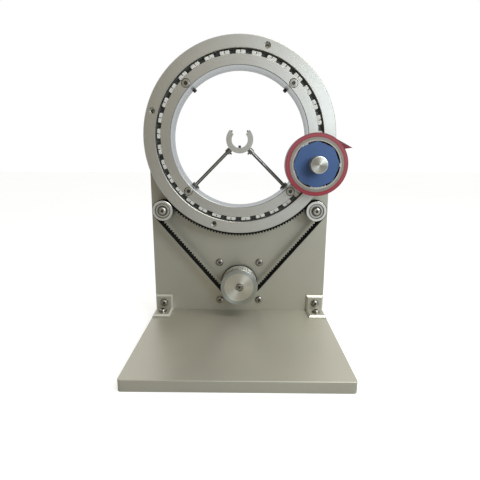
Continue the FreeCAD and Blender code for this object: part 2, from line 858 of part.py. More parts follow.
def make_work_rest():
    """An open ring: its mouth widens upwards between the end faces of two horns."""
    body = new_body("work_rest")
    sketch = front_sketch(body)
    outer, inner = d.rest_outer_radius, d.rest_inner_radius
    circle(sketch, 0, 0, outer)
    circle(sketch, 0, 0, inner)
    pad_back(body, sketch, d.rest_thickness)
    mouth = front_sketch(body)
    polygon(mouth, [horn_point(-1, 0), horn_point(1, 0), horn_point(1, outer), horn_point(-1, outer)])
    pocket_back(body, mouth, d.rest_thickness)
    middle = d.rest_thickness / 2
    for sign in SIGNS:
        x, z = polar(rod_start() - d.screw_gap, rod_angle(sign))
        drill(body, d.rod_radius + d.fit_gap, outer - inner, (x, middle, z), rod_direction(sign))
        x, z = horn_point(sign, d.horn_grub_place)
        drill(body, d.horn_grub_radius + d.fit_gap, d.horn_grub_length, (x, middle, z),
              -horn_way(sign))
    top = rest_grub_top() - d.ring_height
    drill(body, d.grub_radius + d.fit_gap, d.grub_length + d.screw_gap, (0, middle, top), -UP)
    place(body, 0, rest_middle - middle, d.ring_height)


def rest_grub_top():
    return d.ring_height - d.rest_inner_radius + d.grub_stand_out


def make_guide_rods():
    """Each rod is screwed into the bore's wall and into the work rest."""
    length = d.bore_radius + d.rod_sink - rod_start()
    for side, sign in SIDES:
        rod = doc.addObject("Part::Cylinder", f"guide_rod_{side}")
        rod.Label = f"guide_rod_{side}"
        bind(rod, "Radius", d.rod_radius)
        bind(rod, "Height", length)
        x, z = polar(rod_start(), rod_angle(sign), z=d.ring_height)
        place(rod, x, rest_middle, z, turn=Rotation(UP, rod_direction(sign)))


def rod_start():
    """Distance of the rods' inner ends from the ring's axis."""
    return d.rest_inner_radius + d.rod_end_gap


def rod_sleeves(label, radius, length, start):
    """A sleeve with broken edges on each rod."""
    bore, edge = d.rod_radius + d.fit_gap, d.sleeve_edge_break
    sleeve = turned(f"{label}_piece", [
        (bore, 0), (radius - edge, 0), (radius, edge), (radius, length - edge),
        (radius - edge, length), (bore, length)])
    spots = []
    for sign in SIGNS:
        x, z = polar(start, rod_angle(sign), z=d.ring_height)
        spots.append((x, rest_middle, z, Rotation(BACK, rod_direction(sign))))
    copies(label, sleeve, spots)


def rod_grubs(label, start, reach):
    """Screws that stand out of the rods' sleeves, towards the foot of the bore."""
    grub = doc.addObject("Part::Cylinder", f"{label}_piece")
    bind(grub, "Radius", d.side_screw_radius)
    bind(grub, "Height", d.side_screw_length)
    spots = []
    for sign in SIGNS:
        along = rod_angle(sign)
        across = along - sign * 90
        x, z = polar(start, along, z=d.ring_height)
        x, z = polar(reach, across, x, z)
        spots.append((x, rest_middle, z, Rotation(UP, direction(across))))
    copies(label, grub, spots)


def make_rod_fittings():
    collar_start = d.rest_outer_radius + d.fit_gap
    rod_sleeves("rod_collars", d.collar_radius, d.collar_length, collar_start)
    rod_grubs("collar_screws", collar_start + d.collar_length / 2, d.collar_radius + d.fit_gap)
    wall = root(d.bore_radius * d.bore_radius - d.rod_foot_radius * d.rod_foot_radius)
    foot_start = wall - d.rod_foot_height - d.fit_gap
    rod_sleeves("rod_feet", d.rod_foot_radius, d.rod_foot_height, foot_start)
    rod_grubs("foot_screws", foot_start + d.rod_foot_height / 2, d.rod_foot_radius + d.fit_gap)


def make_rest_grub_screws():
    """One grub screw at the bottom of the work rest and one in the end of each horn."""
    bottom = doc.addObject("Part::Cylinder", "rest_grub_screw")
    bottom.Label = "rest_grub_screw"
    bind(bottom, "Radius", d.grub_radius)
    bind(bottom, "Height", d.grub_length)
    place(bottom, 0, rest_middle, rest_grub_top() - d.grub_length)
    grub = doc.addObject("Part::Cylinder", "horn_grub_piece")
    bind(grub, "Radius", d.horn_grub_radius)
    bind(grub, "Height", d.horn_grub_length)
    spots = []
    for sign in SIGNS:
        way = horn_way(sign)
        x, z = horn_point(sign, d.horn_grub_place)
        sink = d.horn_grub_length - d.horn_grub_stand_out
        start = (x - sink * way.x, rest_middle, d.ring_height + z - sink * way.z)
        spots.append((*start, Rotation(UP, way)))
    copies("horn_grub_screws", grub, spots)


def make_bore_grub_screws():
    """Two grub screws that stand out of the plate's bore above the work rest."""
    grub = doc.addObject("Part::Cylinder", "bore_grub_piece")
    bind(grub, "Radius", d.bore_grub_radius)
    bind(grub, "Height", d.bore_grub_stand_out - d.fit_gap)
    spots = []
    for sign in SIGNS:
        angle = 90 - sign * d.bore_grub_angle
        x, z = polar(d.bore_radius - d.bore_grub_stand_out, angle, z=d.ring_height)
        spots.append((x, rest_middle, z, Rotation(UP, direction(angle))))
    copies("bore_grub_screws", grub, spots)


# Toothed belt


def belt_pulleys():
    """The circles that the belt's pitch line follows: centre, radius and turning sense."""
    tooth_side = d.belt_tooth_height.value + d.belt_pitch_line.value
    idler = idler_tread.value + d.belt_gap.value + tooth_side
    back_side = d.belt_back.value - d.belt_pitch_line.value
    ring = outer_ring_outer.value + d.belt_gap.value + back_side
    offset, height = idler_offset.value, idler_height.value
    return [
        (Vector(0, pulley_height.value), pulley_pitch_radius().value, 1),
        (Vector(offset, height), idler, 1),
        (Vector(0, d.ring_height.value), ring, -1),
        (Vector(-offset, height), idler, 1)]


def pulley_pitch_radius():
    return d.pulley_teeth * d.belt_pitch / (2 * math.pi)


def pulley_land():
    """Radius of the pulley across its teeth."""
    return pulley_pitch_radius() - d.belt_pitch_line - d.belt_gap


def pulley_groove_floor():
    return pulley_land() - d.belt_tooth_height - d.belt_gap


def pulley_boss():
    """Radius of the bosses that carry the flanges, inside the grooves' floor."""
    return pulley_groove_floor() - d.pulley_boss_step


def belt_route(circles):
    """Arcs and straight runs of the pitch line, anticlockwise from the foot of the first circle.

    An arc is (length, centre, radius, start angle, sense), a run is (length, start, direction)."""
    headings, lengths = [], []
    for index, (centre, radius, sense) in enumerate(circles):
        next_centre, next_radius, next_sense = circles[(index + 1) % len(circles)]
        between = next_centre - centre
        change = next_sense * next_radius - sense * radius
        length = math.sqrt(between.Length ** 2 - change ** 2)
        headings.append(math.atan2(between.y, between.x) - math.atan2(change, length))
        lengths.append(length)
    route = []
    for index, (centre, radius, sense) in enumerate(circles):
        arriving = headings[index - 1] if index else 0.0
        sweep = sense * ((sense * (headings[index] - arriving)) % (2 * math.pi))
        start = arriving - sense * math.pi / 2
        route.append((abs(sweep) * radius, centre, radius, start, sense))
        leaving = Vector(math.cos(headings[index]), math.sin(headings[index]))
        right = Vector(leaving.y, -leaving.x)
        route.append((lengths[index], centre + right * (sense * radius), leaving))
    centre, radius, sense = circles[0]
    sweep = (-headings[-1]) % (2 * math.pi)
    route.append((sweep * radius, centre, radius, headings[-1] - math.pi / 2, sense))
    return route


def is_straight(step):
    length, *rest = step
    return len(rest) == 2


def step_point(step, distance, inward):
    """The point at a distance along one step, moved towards the inside of the loop."""
    if is_straight(step):
        length, start, way = step
        return start + way * distance + Vector(-way.y, way.x) * inward
    length, centre, radius, start, sense = step
    angle = start + sense * distance / radius
    out = Vector(math.cos(angle), math.sin(angle))
    return centre + out * (radius - sense * inward)


def route_point(route, distance, inward):
    """The point at a distance along the whole route."""
    for step in route:
        if distance <= step[0] or step is route[-1]:
            return step_point(step, distance, inward)
        distance -= step[0]


def in_plane(point, depth):
    """A point of the route's own plane at a depth of the machine."""
    return Vector(point.x, depth, point.y)


def make_drive_belt():
    """The belt's smooth back is arcs and straight runs, its toothed side one outline."""
    route = belt_route(belt_pulleys())
    total = sum(step[0] for step in route)
    teeth = round(total / d.belt_pitch.value)
    spacing = total / teeth
    outward = -(d.belt_back.value - d.belt_pitch_line.value)
    root_line = d.belt_pitch_line.value
    tip_line = root_line + d.belt_tooth_height.value
    front = belt_middle.value - d.belt_width.value / 2

    back_edges = []
    for step in route:
        start, middle, end = [
            in_plane(step_point(step, step[0] * share, outward), front) for share in (0, 0.5, 1)]
        line = Part.LineSegment(start, end) if is_straight(step) else Part.Arc(start, middle, end)
        back_edges.append(line.toShape())
    back_wire = Part.Wire(back_edges)

    corners = []
    half_root, half_tip = d.belt_tooth_root.value / 2, d.belt_tooth_tip.value / 2
    for index in range(teeth):
        middle = index * spacing
        for along, inward in ((-half_root, root_line), (-half_tip, tip_line),
                              (half_tip, tip_line), (half_root, root_line)):
            corners.append(in_plane(route_point(route, (middle + along) % total, inward), front))
    tooth_wire = Part.makePolygon(corners + corners[:1])

    face = Part.Face(back_wire).cut(Part.Face(tooth_wire)).Faces[0]
    belt = doc.addObject("Part::Feature", "drive_belt")
    belt.Label = "drive_belt"
    belt.Shape = face.extrude(BACK * d.belt_width.value)
    belt.Placement = FreeCAD.Placement()


# Drive pulley on the motor's shaft


def pulley_seats():
    """Planes of the flanges' seats, with room beside the belt."""
    half = d.belt_width / 2
    return belt_middle - half - d.pulley_front_gap, belt_middle + half + d.pulley_rear_gap


def make_drive_pulley():
    """Toothed wheel with a boss at each end for the flanges, and a hub towards the plate."""
    body = new_body("drive_pulley")
    land = pulley_land()
    front, back = pulley_seats()
    length = back - front
    wheel = front_sketch(body, front)
    circle(wheel, 0, 0, land)
    pad_back(body, wheel, length)

    groove = front_sketch(body, front)
    side = d.belt_gap
    mouth, floor = d.belt_tooth_root / 2 + side, d.belt_tooth_tip / 2 + side
    bottom = pulley_groove_floor()
    open_end = -land - side
    polygon(groove, [(-floor, -bottom), (floor, -bottom), (mouth, open_end), (-mouth, open_end)])
    cut = pocket_back(body, groove, length)
    pattern = body.newObject("PartDesign::PolarPattern", "drive_pulley_teeth")
    pattern.Originals = [cut]
    pattern.Axis = (groove, ["N_Axis"])
    pattern.Angle = 360.0
    bind(pattern, "Occurrences", d.pulley_teeth)
    body.Tip = pattern

    flange = d.pulley_flange_thickness
    boss = front_sketch(body, front - flange + d.pulley_face_recess)
    circle(boss, 0, 0, pulley_boss())
    pad_back(body, boss, length + flange * 2 - d.pulley_face_recess)
    hub = front_sketch(body, back)
    circle(hub, 0, 0, d.pulley_hub_radius)
    pad_back(body, hub, -back - flange)

    drill(body, d.motor_shaft_radius + d.fit_gap, -shaft_front, (0, shaft_front, 0))
    drill(body, d.pulley_screw_shank_radius + d.fit_gap, length, (0, front, 0))
    drill(body, d.pulley_counterbore_radius, shaft_front - d.pulley_web - front + flange,
          (0, front - flange, 0))
    place(body, 0, 0, pulley_height)


def make_pulley_flanges():
    bore, rim = pulley_boss() + d.fit_gap, pulley_land() + d.pulley_flange_height
    thickness = d.pulley_flange_thickness
    edge = thickness / 2
    front_seat, rear_seat = pulley_seats()
    turned("pulley_flange_front", [
        (bore, front_seat - thickness), (rim - edge / 2, front_seat - thickness),
        (rim, front_seat - thickness + edge / 2), (rim, front_seat - edge),
        (rim - edge, front_seat), (bore, front_seat)], z=pulley_height)
    turned("pulley_flange_rear", [
        (bore, rear_seat), (rim - edge, rear_seat), (rim, rear_seat + edge),
        (rim, rear_seat + thickness), (bore, rear_seat + thickness)], z=pulley_height)


def make_pulley_screw():
    seat = shaft_front - d.pulley_web
    screw = cap_screw(
        "pulley_screw", d.pulley_screw_head_radius, d.pulley_screw_head_height,
        d.pulley_screw_shank_radius, d.pulley_web + d.pulley_screw_bite,
        d.pulley_screw_key_radius)
    place(screw, 0, seat, pulley_height)


# Motor


def motor_screw_spots():
    """Centres of the motor's four screws, as X and Z."""
    reach = d.motor_hole_spacing / 2
    return [(x * reach, pulley_height + z * reach) for x in (-1, 1) for z in (-1, 1)]


def make_motor_shaft():
    edge, radius = d.motor_shaft_edge_break, d.motor_shaft_radius
    back = plate_back + d.motor_front_length - d.screw_gap
    body = turned("motor_shaft", [
        (0, shaft_front), (radius - edge, shaft_front), (radius, shaft_front + edge),
        (radius, back), (0, back)], z=pulley_height)
    drill(body, d.pulley_screw_shank_radius + d.fit_gap, d.pulley_screw_bite + d.screw_gap,
          (0, shaft_front, 0))


def square(sketch, half, z):
    rectangle(sketch, -half, half, z - half, z + half)


def make_motor_front_cap():
    """Square flange with the pilot that centres the motor in the plate, open for the bearing."""
    body = new_body("motor_front_cap")
    sketch = front_sketch(body, plate_back)
    square(sketch, d.motor_square / 2, pulley_height)
    pad_back(body, sketch, d.motor_front_length)
    dress(body, "Fillet", d.base_corner_radius, lambda edge: runs_along(edge, BACK))
    pilot = front_sketch(body, plate_back - d.motor_pilot_height)
    circle(pilot, 0, pulley_height, d.motor_pilot_radius)
    pad_back(body, pilot, d.motor_pilot_height)
    centre = (0, plate_back - d.motor_pilot_height, pulley_height)
    drill(body, d.motor_shaft_radius + d.motor_shaft_hole_gap,
          d.motor_pilot_height + d.motor_front_length, centre)
    back = plate_back + d.motor_front_length
    drill(body, d.motor_bearing_radius + d.fit_gap, d.motor_bearing_width + d.fit_gap,
          (0, back, pulley_height), FRONT)
    for x, z in motor_screw_spots():
        drill(body, d.motor_screw_shank_radius + d.screw_gap, d.motor_front_length,
              (x, plate_back, z))


def make_motor_bearing():
    back = plate_back + d.motor_front_length - d.fit_gap
    front = back - d.motor_bearing_width + d.fit_gap
    inner = d.motor_shaft_radius + d.running_gap
    turned("motor_bearing", [
        (inner, front), (d.motor_bearing_radius, front), (d.motor_bearing_radius, back),
        (inner, back)], z=pulley_height)


def make_motor_stack():
    """The laminated stack, with its corners cut off to reach the motor's nuts."""
    body = new_body("motor_stack")
    front = plate_back + d.motor_front_length
    sketch = front_sketch(body, front)
    half = d.motor_square / 2
    short = half - d.motor_stack_corner
    z = pulley_height
    polygon(sketch, [
        (-short, z - half), (short, z - half), (half, z - short), (half, z + short),
        (short, z + half), (-short, z + half), (-half, z + short), (-half, z - short)])
    pad_back(body, sketch, d.motor_stack_length)


def make_motor_rear_cap():
    body = new_body("motor_rear_cap")
    front = plate_back + d.motor_front_length + d.motor_stack_length
    sketch = front_sketch(body, front)
    square(sketch, d.motor_square / 2, pulley_height)
    pad_back(body, sketch, d.motor_rear_length)
    dress(body, "Fillet", d.motor_rear_corner, lambda edge: runs_along(edge, BACK))
    back = (front + d.motor_rear_length).value
    dress(body, "Chamfer", d.motor_rear_edge_break, lambda edge: at_depth(edge, back))


def make_motor_socket():
    """A connector shroud on top of the rear cap, open towards the back."""
    body = new_body("motor_socket")
    top = pulley_height + d.motor_square / 2
    front = plate_back + d.motor_front_length + d.motor_stack_length + d.socket_inset
    sketch = front_sketch(body, front)
    half, wall = d.socket_width / 2, d.socket_wall
    rectangle(sketch, -half, half, top, top + d.socket_height)
    pad_back(body, sketch, d.socket_length)
    hollow = front_sketch(body, front + d.socket_length)
    rectangle(hollow, wall - half, half - wall, top + wall, top + d.socket_height - wall)
    feature(body, "Pocket", hollow, d.socket_depth, reverse=True)


def make_motor_fasteners():
    grip = d.upright_thickness + d.motor_front_length
    screw = cap_screw(
        "motor_screw", d.motor_screw_head_radius, d.motor_screw_head_height,
        d.motor_screw_shank_radius, grip + d.motor_nut_height, d.motor_screw_key_radius,
        round_head=True)
    copies("motor_screws", screw, [(x, 0, z) for x, z in motor_screw_spots()])
    nut = new_body("motor_nut")
    sketch = front_sketch(nut)
    polygon(sketch, regular_points(HEXAGON, d.motor_nut_radius, 0.0))
    circle(sketch, 0, 0, d.motor_screw_shank_radius + d.fit_gap)
    pad_back(nut, sketch, d.motor_nut_height)
    copies("motor_nuts", nut, [(x, grip, z) for x, z in motor_screw_spots()])


# Idlers that lead the belt round the foot of the ring


def idler_planes():
    """Front and back faces of an idler."""
    half = d.belt_width / 2 + d.idler_side_gap + d.idler_flange_thickness
    return belt_middle - half, belt_middle + half


def make_idlers():
    front, back = idler_planes()
    flange, tread = idler_flange, idler_tread
    inner_front, inner_back = front + d.idler_flange_thickness, back - d.idler_flange_thickness
    width = d.idler_bearing_width
    seat = d.idler_bearing_recess
    pocket = d.idler_bearing_radius + d.fit_gap
    web = d.idler_bearing_radius - d.idler_web_height
    mouth = d.idler_bearing_radius + d.idler_mouth_groove
    floor = front + d.idler_mouth_depth
    edge = d.idler_edge_break
    for side, sign in SIDES:
        x, z = sign * idler_offset, idler_height
        turned(f"idler_wheel_{side}", [
            (mouth, front), (flange - edge, front), (flange, front + edge),
            (flange, inner_front - edge), (tread, inner_front), (tread, inner_back),
            (flange, inner_back + edge), (flange, back - edge), (flange - edge, back),
            (pocket, back), (pocket, back - width - seat), (web, back - width - seat),
            (web, front + width + seat), (pocket, front + width + seat), (pocket, floor),
            (mouth, floor)], x, z)
        make_idler_post(side, x, z, back)
        make_idler_bearings(side, x, z)


def bearing_profile(bore, rim, race, front, back):
    """A ball bearing's outline: two races and shields set back between them."""
    dip = d.idler_shield_dip
    return [
        (bore, front), (bore + race, front), (bore + race, front + dip),
        (rim - race, front + dip), (rim - race, front), (rim, front), (rim, back),
        (rim - race, back), (rim - race, back - dip), (bore + race, back - dip),
        (bore + race, back), (bore, back)]


def make_idler_bearings(side, x, z):
    """Two ball bearings in the wheel's ends, as one node."""
    front, back = idler_planes()
    bore = d.idler_stud_radius + d.running_gap
    rim = d.idler_bearing_radius
    first = front + d.idler_bearing_recess
    bearing = turned(f"idler_bearing_{side}", bearing_profile(
        bore, rim, d.idler_bearing_race, as_size(0), d.idler_bearing_width))
    rear = back - d.idler_bearing_recess - d.idler_bearing_width
    copies(f"idler_bearings_{side}", bearing, [(x, first, z), (x, rear, z)])


def make_idler_post(side, x, z, back):
    """Shouldered post: tenon in the plate, spacer, seat for the bearing, and stud."""
    stud, post = d.idler_stud_radius, d.idler_post_radius
    race, shoulder = d.idler_seat_radius, back + d.idler_post_gap
    seat = back - d.idler_bearing_recess + d.running_gap
    end = idler_stud_end()
    body = turned(f"idler_post_{side}", [
        (0, end), (stud, end), (stud, seat), (race, seat), (race, shoulder), (post, shoulder),
        (post, 0), (stud, 0), (stud, d.idler_tenon_length), (0, d.idler_tenon_length)], x, z)
    drill(body, d.idler_screw_shank_radius + d.fit_gap, d.idler_screw_bite + d.screw_gap,
          (0, end, 0))


def idler_stud_end():
    return idler_planes()[0] + d.idler_bearing_recess - d.fit_gap * 2


def make_idler_screws():
    screw = cap_screw(
        "idler_screw", d.idler_screw_head_radius, d.idler_screw_head_height,
        d.idler_screw_shank_radius, d.idler_screw_bite, d.idler_screw_key_radius)
    spots = [(sign * idler_offset, idler_stud_end(), idler_height) for sign in SIGNS]
    copies("idler_screws", screw, spots)


# Tape spool on the outer ring


def spool_axis():
    return polar(spool_circle, d.spool_angle, z=d.ring_height)


def arm_screw_angles():
    """The arm's screws sit on the ring's hole circle, on both sides of the spool."""
    return [d.spool_angle + turn * d.arm_screw_spread for turn in (-1, 1)]


def make_spool_arm():
    """A plate with rounded ends on a foot that keeps it clear of the fixed inner ring."""
    body = new_body("spool_arm")
    inner, outer = spool_circle - d.arm_tail, outer_ring_outer - d.arm_edge_inset
    half = d.arm_width / 2
    sketch = front_sketch(body, arm_front)
    corner = d.arm_corner
    wide = (outer_ring_hole_circle * sine(d.arm_screw_spread) + d.arm_screw_head_radius
            + d.arm_screw_margin)
    widening = outer_ring_inner
    widened = widening + d.arm_shoulder
    upper = [
        (outer, wide - corner), (outer - corner, wide), (widened, wide), (widening, half),
        (inner + corner, half), (inner, half - corner)]
    lower = [(x, -z) for x, z in reversed(upper)]
    polygon(sketch, upper + lower)
    pad_back(body, sketch, d.arm_thickness)
    foot = front_sketch(body, arm_front + d.arm_thickness)
    margin = d.arm_foot_margin
    rectangle(foot, widening + margin, outer - margin, margin - wide, wide - margin)
    pad_back(body, foot, d.arm_stand_off)
    whole = d.arm_thickness + d.arm_stand_off
    for turn in (-1, 1):
        x, z = polar(outer_ring_hole_circle, turn * d.arm_screw_spread)
        drill(body, d.arm_screw_shank_radius + d.screw_gap, whole, (x, arm_front, z))
        drill(body, d.arm_screw_head_radius + d.screw_gap, d.arm_screw_head_height,
              (x, arm_front, z))
    drill(body, d.spindle_radius + d.fit_gap, d.arm_thickness, (spool_circle, arm_front, 0))
    place(body, 0, 0, d.ring_height, turn=Rotation(FRONT, d.spool_angle.value))


def make_arm_screws():
    grip = d.arm_thickness + d.arm_stand_off - d.arm_screw_head_height
    screw = cap_screw(
        "arm_screw", d.arm_screw_head_radius, d.arm_screw_head_height,
        d.arm_screw_shank_radius, grip + d.arm_screw_bite, d.arm_screw_key_radius)
    spots = []
    for angle in arm_screw_angles():
        x, z = polar(outer_ring_hole_circle, angle, z=d.ring_height)
        spots.append((x, arm_front + d.arm_screw_head_height, z))
    copies("arm_screws", screw, spots)


def make_spool_spindle():
    """Turned spindle: seat in the arm, collar, journal for the hub and thread for the knob."""
    collar_front = arm_front - d.spindle_collar_thickness
    journal_front = hub_front - d.washer_thickness
    end = knob_front + d.knob_front_wall + d.screw_gap
    radius, thread = d.spindle_radius, d.spindle_thread_radius
    x, z = spool_axis()
    turned("spool_spindle", [
        (0, end), (thread, end), (thread, journal_front), (radius, journal_front),
        (radius, collar_front), (d.spindle_collar_radius, collar_front),
        (d.spindle_collar_radius, arm_front), (radius, arm_front),
        (radius, arm_front + d.arm_thickness), (0, arm_front + d.arm_thickness)], x, z)


def make_spool_hub():
    """Moulded hub: a rim with eight lobes that grip the core, a web, and a boss on the spindle."""
    length = tape_back - hub_front
    body = new_body("spool_hub")
    lobes = d.core_inner_radius - d.hub_lobe_gap
    rim = front_sketch(body, hub_front)
    circle(rim, 0, 0, lobes)
    pad_back(body, rim, length)
    flat = front_sketch(body, hub_front)
    reach = d.core_inner_radius / 2
    flat_radius = d.core_inner_radius - d.hub_flat_depth
    rectangle(flat, -reach, reach, flat_radius, d.core_inner_radius)
    cut = pocket_back(body, flat, length)
    pattern = body.newObject("PartDesign::PolarPattern", "spool_hub_flats")
    pattern.Originals = [cut]
    pattern.Axis = (flat, ["N_Axis"])
    pattern.Angle = 360.0
    bind(pattern, "Occurrences", d.hub_lobe_count)
    body.Tip = pattern
    hollow = front_sketch(body, tape_back)
    circle(hollow, 0, 0, flat_radius - d.hub_rim_thickness)
    circle(hollow, 0, 0, d.hub_boss_radius)
    feature(body, "Pocket", hollow, length - d.hub_web_thickness, reverse=True)
    drill(body, d.spindle_radius + d.running_gap, length, (0, hub_front, 0))
    x, z = spool_axis()
    place(body, x, 0, z, turn=Rotation(FRONT, d.hub_flat_angle.value))


def tab_outline(body, depth, tip_radius, tip_angle):
    """A pointed flap that lies along the roll and stands off it at its tip."""
    seat = tape_outer + d.fit_gap
    step = (d.tab_end_angle - d.tab_start_angle) / TAB_STEPS
    angles = [d.tab_start_angle + step * index for index in range(TAB_STEPS + 1)]
    sketch = front_sketch(body, depth)
    points = [polar(seat, angle) for angle in angles]
    points.append(polar(tip_radius, tip_angle))
    points.append(polar(seat + d.tab_thickness, d.tab_start_angle))
    polygon(sketch, points)
    return sketch


def make_tape():
    """Tape wound on its cardboard core, with the free end folded back into a pointed tab."""
    x, z = spool_axis()
    turned("tape_core", [
        (d.core_inner_radius, tape_front), (core_outer, tape_front),
        (core_outer, tape_back), (d.core_inner_radius, tape_back)], x, z)
    turned("tape_roll", [
        (core_outer + d.fit_gap, tape_front), (tape_outer, tape_front),
        (tape_outer, tape_back), (core_outer + d.fit_gap, tape_back)], x, z)
    tab = new_body("tape_tab")
    outlines = [
        tab_outline(tab, tape_front, tape_outer + d.tab_reach, d.tab_tip_angle),
        tab_outline(tab, tape_back, tape_outer + d.tab_rear_reach, d.tab_rear_angle)]
    loft = tab.newObject("PartDesign::AdditiveLoft", "tape_tab_loft")
    loft.Profile = outlines[0]
    loft.Sections = outlines[1:]
    place(tab, x, 0, z)


def make_knob_and_brake():
    """Turned knob over a spring and washer that press on the hub, so the tape stays taut."""
    x, z = spool_axis()
    washer_front = hub_front - d.washer_thickness
    bore = d.spindle_radius + d.running_gap
    turned("brake_washer", [
        (bore, washer_front), (d.brake_washer_radius, washer_front),
        (d.brake_washer_radius, hub_front - d.fit_gap), (bore, hub_front - d.fit_gap)], x, z)
    back = knob_front + d.knob_length
    hollow = d.brake_spring_radius + d.brake_spring_wire / 2 + d.slide_gap
    thread = d.spindle_thread_radius + d.running_gap
    floor = back - d.brake_spring_length
    edge = d.knob_edge_break
    turned("tension_knob", [
        (0, knob_front), (d.knob_radius - edge, knob_front), (d.knob_radius, knob_front + edge),
        (d.knob_radius, back - edge), (d.knob_radius - edge, back), (hollow, back),
        (hollow, floor), (thread, floor), (thread, knob_front + d.knob_front_wall),
        (0, knob_front + d.knob_front_wall)], x, z)

    wire = d.brake_spring_wire.value
    gap = d.slide_gap.value
    height = (washer_front - floor).value - wire - 2 * gap
    radius = d.brake_spring_radius.value
    helix = Part.makeHelix(height / SIZES["brake_spring_turns"], height, radius)
    section = Part.Wire([Part.makeCircle(wire / 2, Vector(radius, 0, 0), Vector(0, 1, 0))])
    coil = Part.Wire(helix.Edges).makePipeShell([section], True, True)
    spring = doc.addObject("Part::Feature", "brake_spring")
    spring.Label = "brake_spring"
    spring.Shape = coil
    place(spring, x, washer_front - gap - wire / 2, z, turn=Rotation(UP, FRONT))


# Build


def build():
    make_base_plate()
    make_upright_plate()
    make_brackets()
    make_bracket_fasteners()
    make_bearing_spacer()
    make_bearing_inner_ring()
    make_inner_ring_screws()
    make_bearing_outer_ring()
    make_slide_pads()
    make_work_rest()
    make_guide_rods()
    make_rod_fittings()
    make_rest_grub_screws()
    make_bore_grub_screws()
    make_drive_belt()
    make_drive_pulley()
    make_pulley_flanges()
    make_pulley_screw()
    make_motor_shaft()
    make_motor_front_cap()
    make_motor_bearing()
    make_motor_stack()
    make_motor_rear_cap()
    make_motor_socket()
    make_motor_fasteners()
    make_idlers()
    make_idler_screws()
    make_spool_arm()
    make_arm_screws()
    make_spool_spindle()
    make_spool_hub()
    make_tape()
    make_knob_and_brake()
    doc.recompute()


build()

NODES = [
    "base_plate", "upright_plate", "bracket_left", "bracket_right", "bracket_washers",
    "bracket_screws", "bearing_spacer", "bearing_inner_ring", "inner_ring_screws",
    "bearing_outer_ring", "slide_pads", "work_rest", "guide_rod_left", "guide_rod_right",
    "rod_collars", "collar_screws", "rod_feet", "foot_screws", "rest_grub_screw",
    "horn_grub_screws", "bore_grub_screws", "drive_belt", "drive_pulley",
    "pulley_flange_front", "pulley_flange_rear", "pulley_screw", "motor_shaft",
    "motor_front_cap", "motor_bearing", "motor_stack", "motor_rear_cap", "motor_socket",
    "motor_screws", "motor_nuts", "idler_wheel_left", "idler_wheel_right",
    "idler_post_left", "idler_post_right", "idler_bearings_left", "idler_bearings_right",
    "idler_screws", "spool_arm", "arm_screws", "spool_spindle", "spool_hub", "tape_core",
    "tape_roll", "tape_tab", "brake_washer", "brake_spring", "tension_knob",
]

for item in doc.Objects:
    bad = {"Invalid", "Error"} & set(item.State)
    if bad:
        raise RuntimeError(f"{item.Label} failed: {item.State}")

os.makedirs("parts", exist_ok=True)
for label in NODES:
    piece = doc.getObjectsByLabel(label)[0]
    shape = piece.Shape
    if shape.isNull() or not shape.isValid():
        raise RuntimeError(f"{label} has no valid shape")
    if not shape.Solids:
        raise RuntimeError(f"{label} has no solid")
for label in NODES:
    doc.getObjectsByLabel(label)[0].Shape.exportStep(f"parts/{label}.step")
print(f"{len(NODES)} sub-parts written")
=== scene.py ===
import math

import bmesh
import bpy
from mathutils import Matrix, Vector


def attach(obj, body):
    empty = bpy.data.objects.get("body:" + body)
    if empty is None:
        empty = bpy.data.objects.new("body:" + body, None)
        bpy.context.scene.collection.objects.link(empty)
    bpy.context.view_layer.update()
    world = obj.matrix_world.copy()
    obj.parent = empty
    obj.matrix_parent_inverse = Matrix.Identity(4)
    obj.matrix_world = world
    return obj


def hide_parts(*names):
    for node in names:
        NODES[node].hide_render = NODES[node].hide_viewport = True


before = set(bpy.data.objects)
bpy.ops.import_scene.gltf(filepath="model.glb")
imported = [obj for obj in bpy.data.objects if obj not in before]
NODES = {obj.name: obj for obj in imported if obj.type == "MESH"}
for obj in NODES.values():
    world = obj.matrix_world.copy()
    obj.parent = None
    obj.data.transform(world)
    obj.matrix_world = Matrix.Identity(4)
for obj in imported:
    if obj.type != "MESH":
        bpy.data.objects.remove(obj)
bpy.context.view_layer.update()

RING_AXIS = (0.0, 0.0, 0.3143)
SPOOL_AXIS = (0.11766, 0.0, 0.27516)
PULLEY_AXIS = (0.0, 0.0, 0.0703)
IDLER_AXES = {"left": (-0.12549, 0.0, 0.19999), "right": (0.12549, 0.0, 0.19999)}
TAPE_TIP = (0.1709, -0.0536, 0.3004)
MM = 0.001

RING_FACE = -0.028
RING_SLOT = (0.1245, 0.1322)
BORE_RADIUS = 108.4 * MM
TAPE_RADII = (41.2 * MM, 47.3 * MM)


def clear_selection():
    bpy.ops.object.select_all(action="DESELECT")


# ---------------------------------------------------------------- finishes

def add_node(tree, kind, inputs=None, **settings):
    """One shader node with its settings; each input is linked to a socket or set to a value."""
    made = tree.nodes.new("ShaderNode" + kind)
    for key, value in settings.items():
        setattr(made, key, value)
    for key, value in (inputs or {}).items():
        if isinstance(value, bpy.types.NodeSocket):
            tree.links.new(value, made.inputs[key])
        else:
            made.inputs[key].default_value = value
    return made


def colour_ramp(tree, pattern, *stops):
    """Colours along a pattern; each stop is a position and a colour."""
    ramp = add_node(tree, "ValToRGB", {"Fac": pattern})
    points = ramp.color_ramp.elements
    points.remove(points[1])
    points[0].position = stops[0][0]
    points[0].color = (*stops[0][1], 1)
    for position, colour in stops[1:]:
        points.new(position).color = (*colour, 1)
    return ramp.outputs["Color"]


def tint(colour, factor):
    return tuple(min(1.0, channel * factor) for channel in colour)


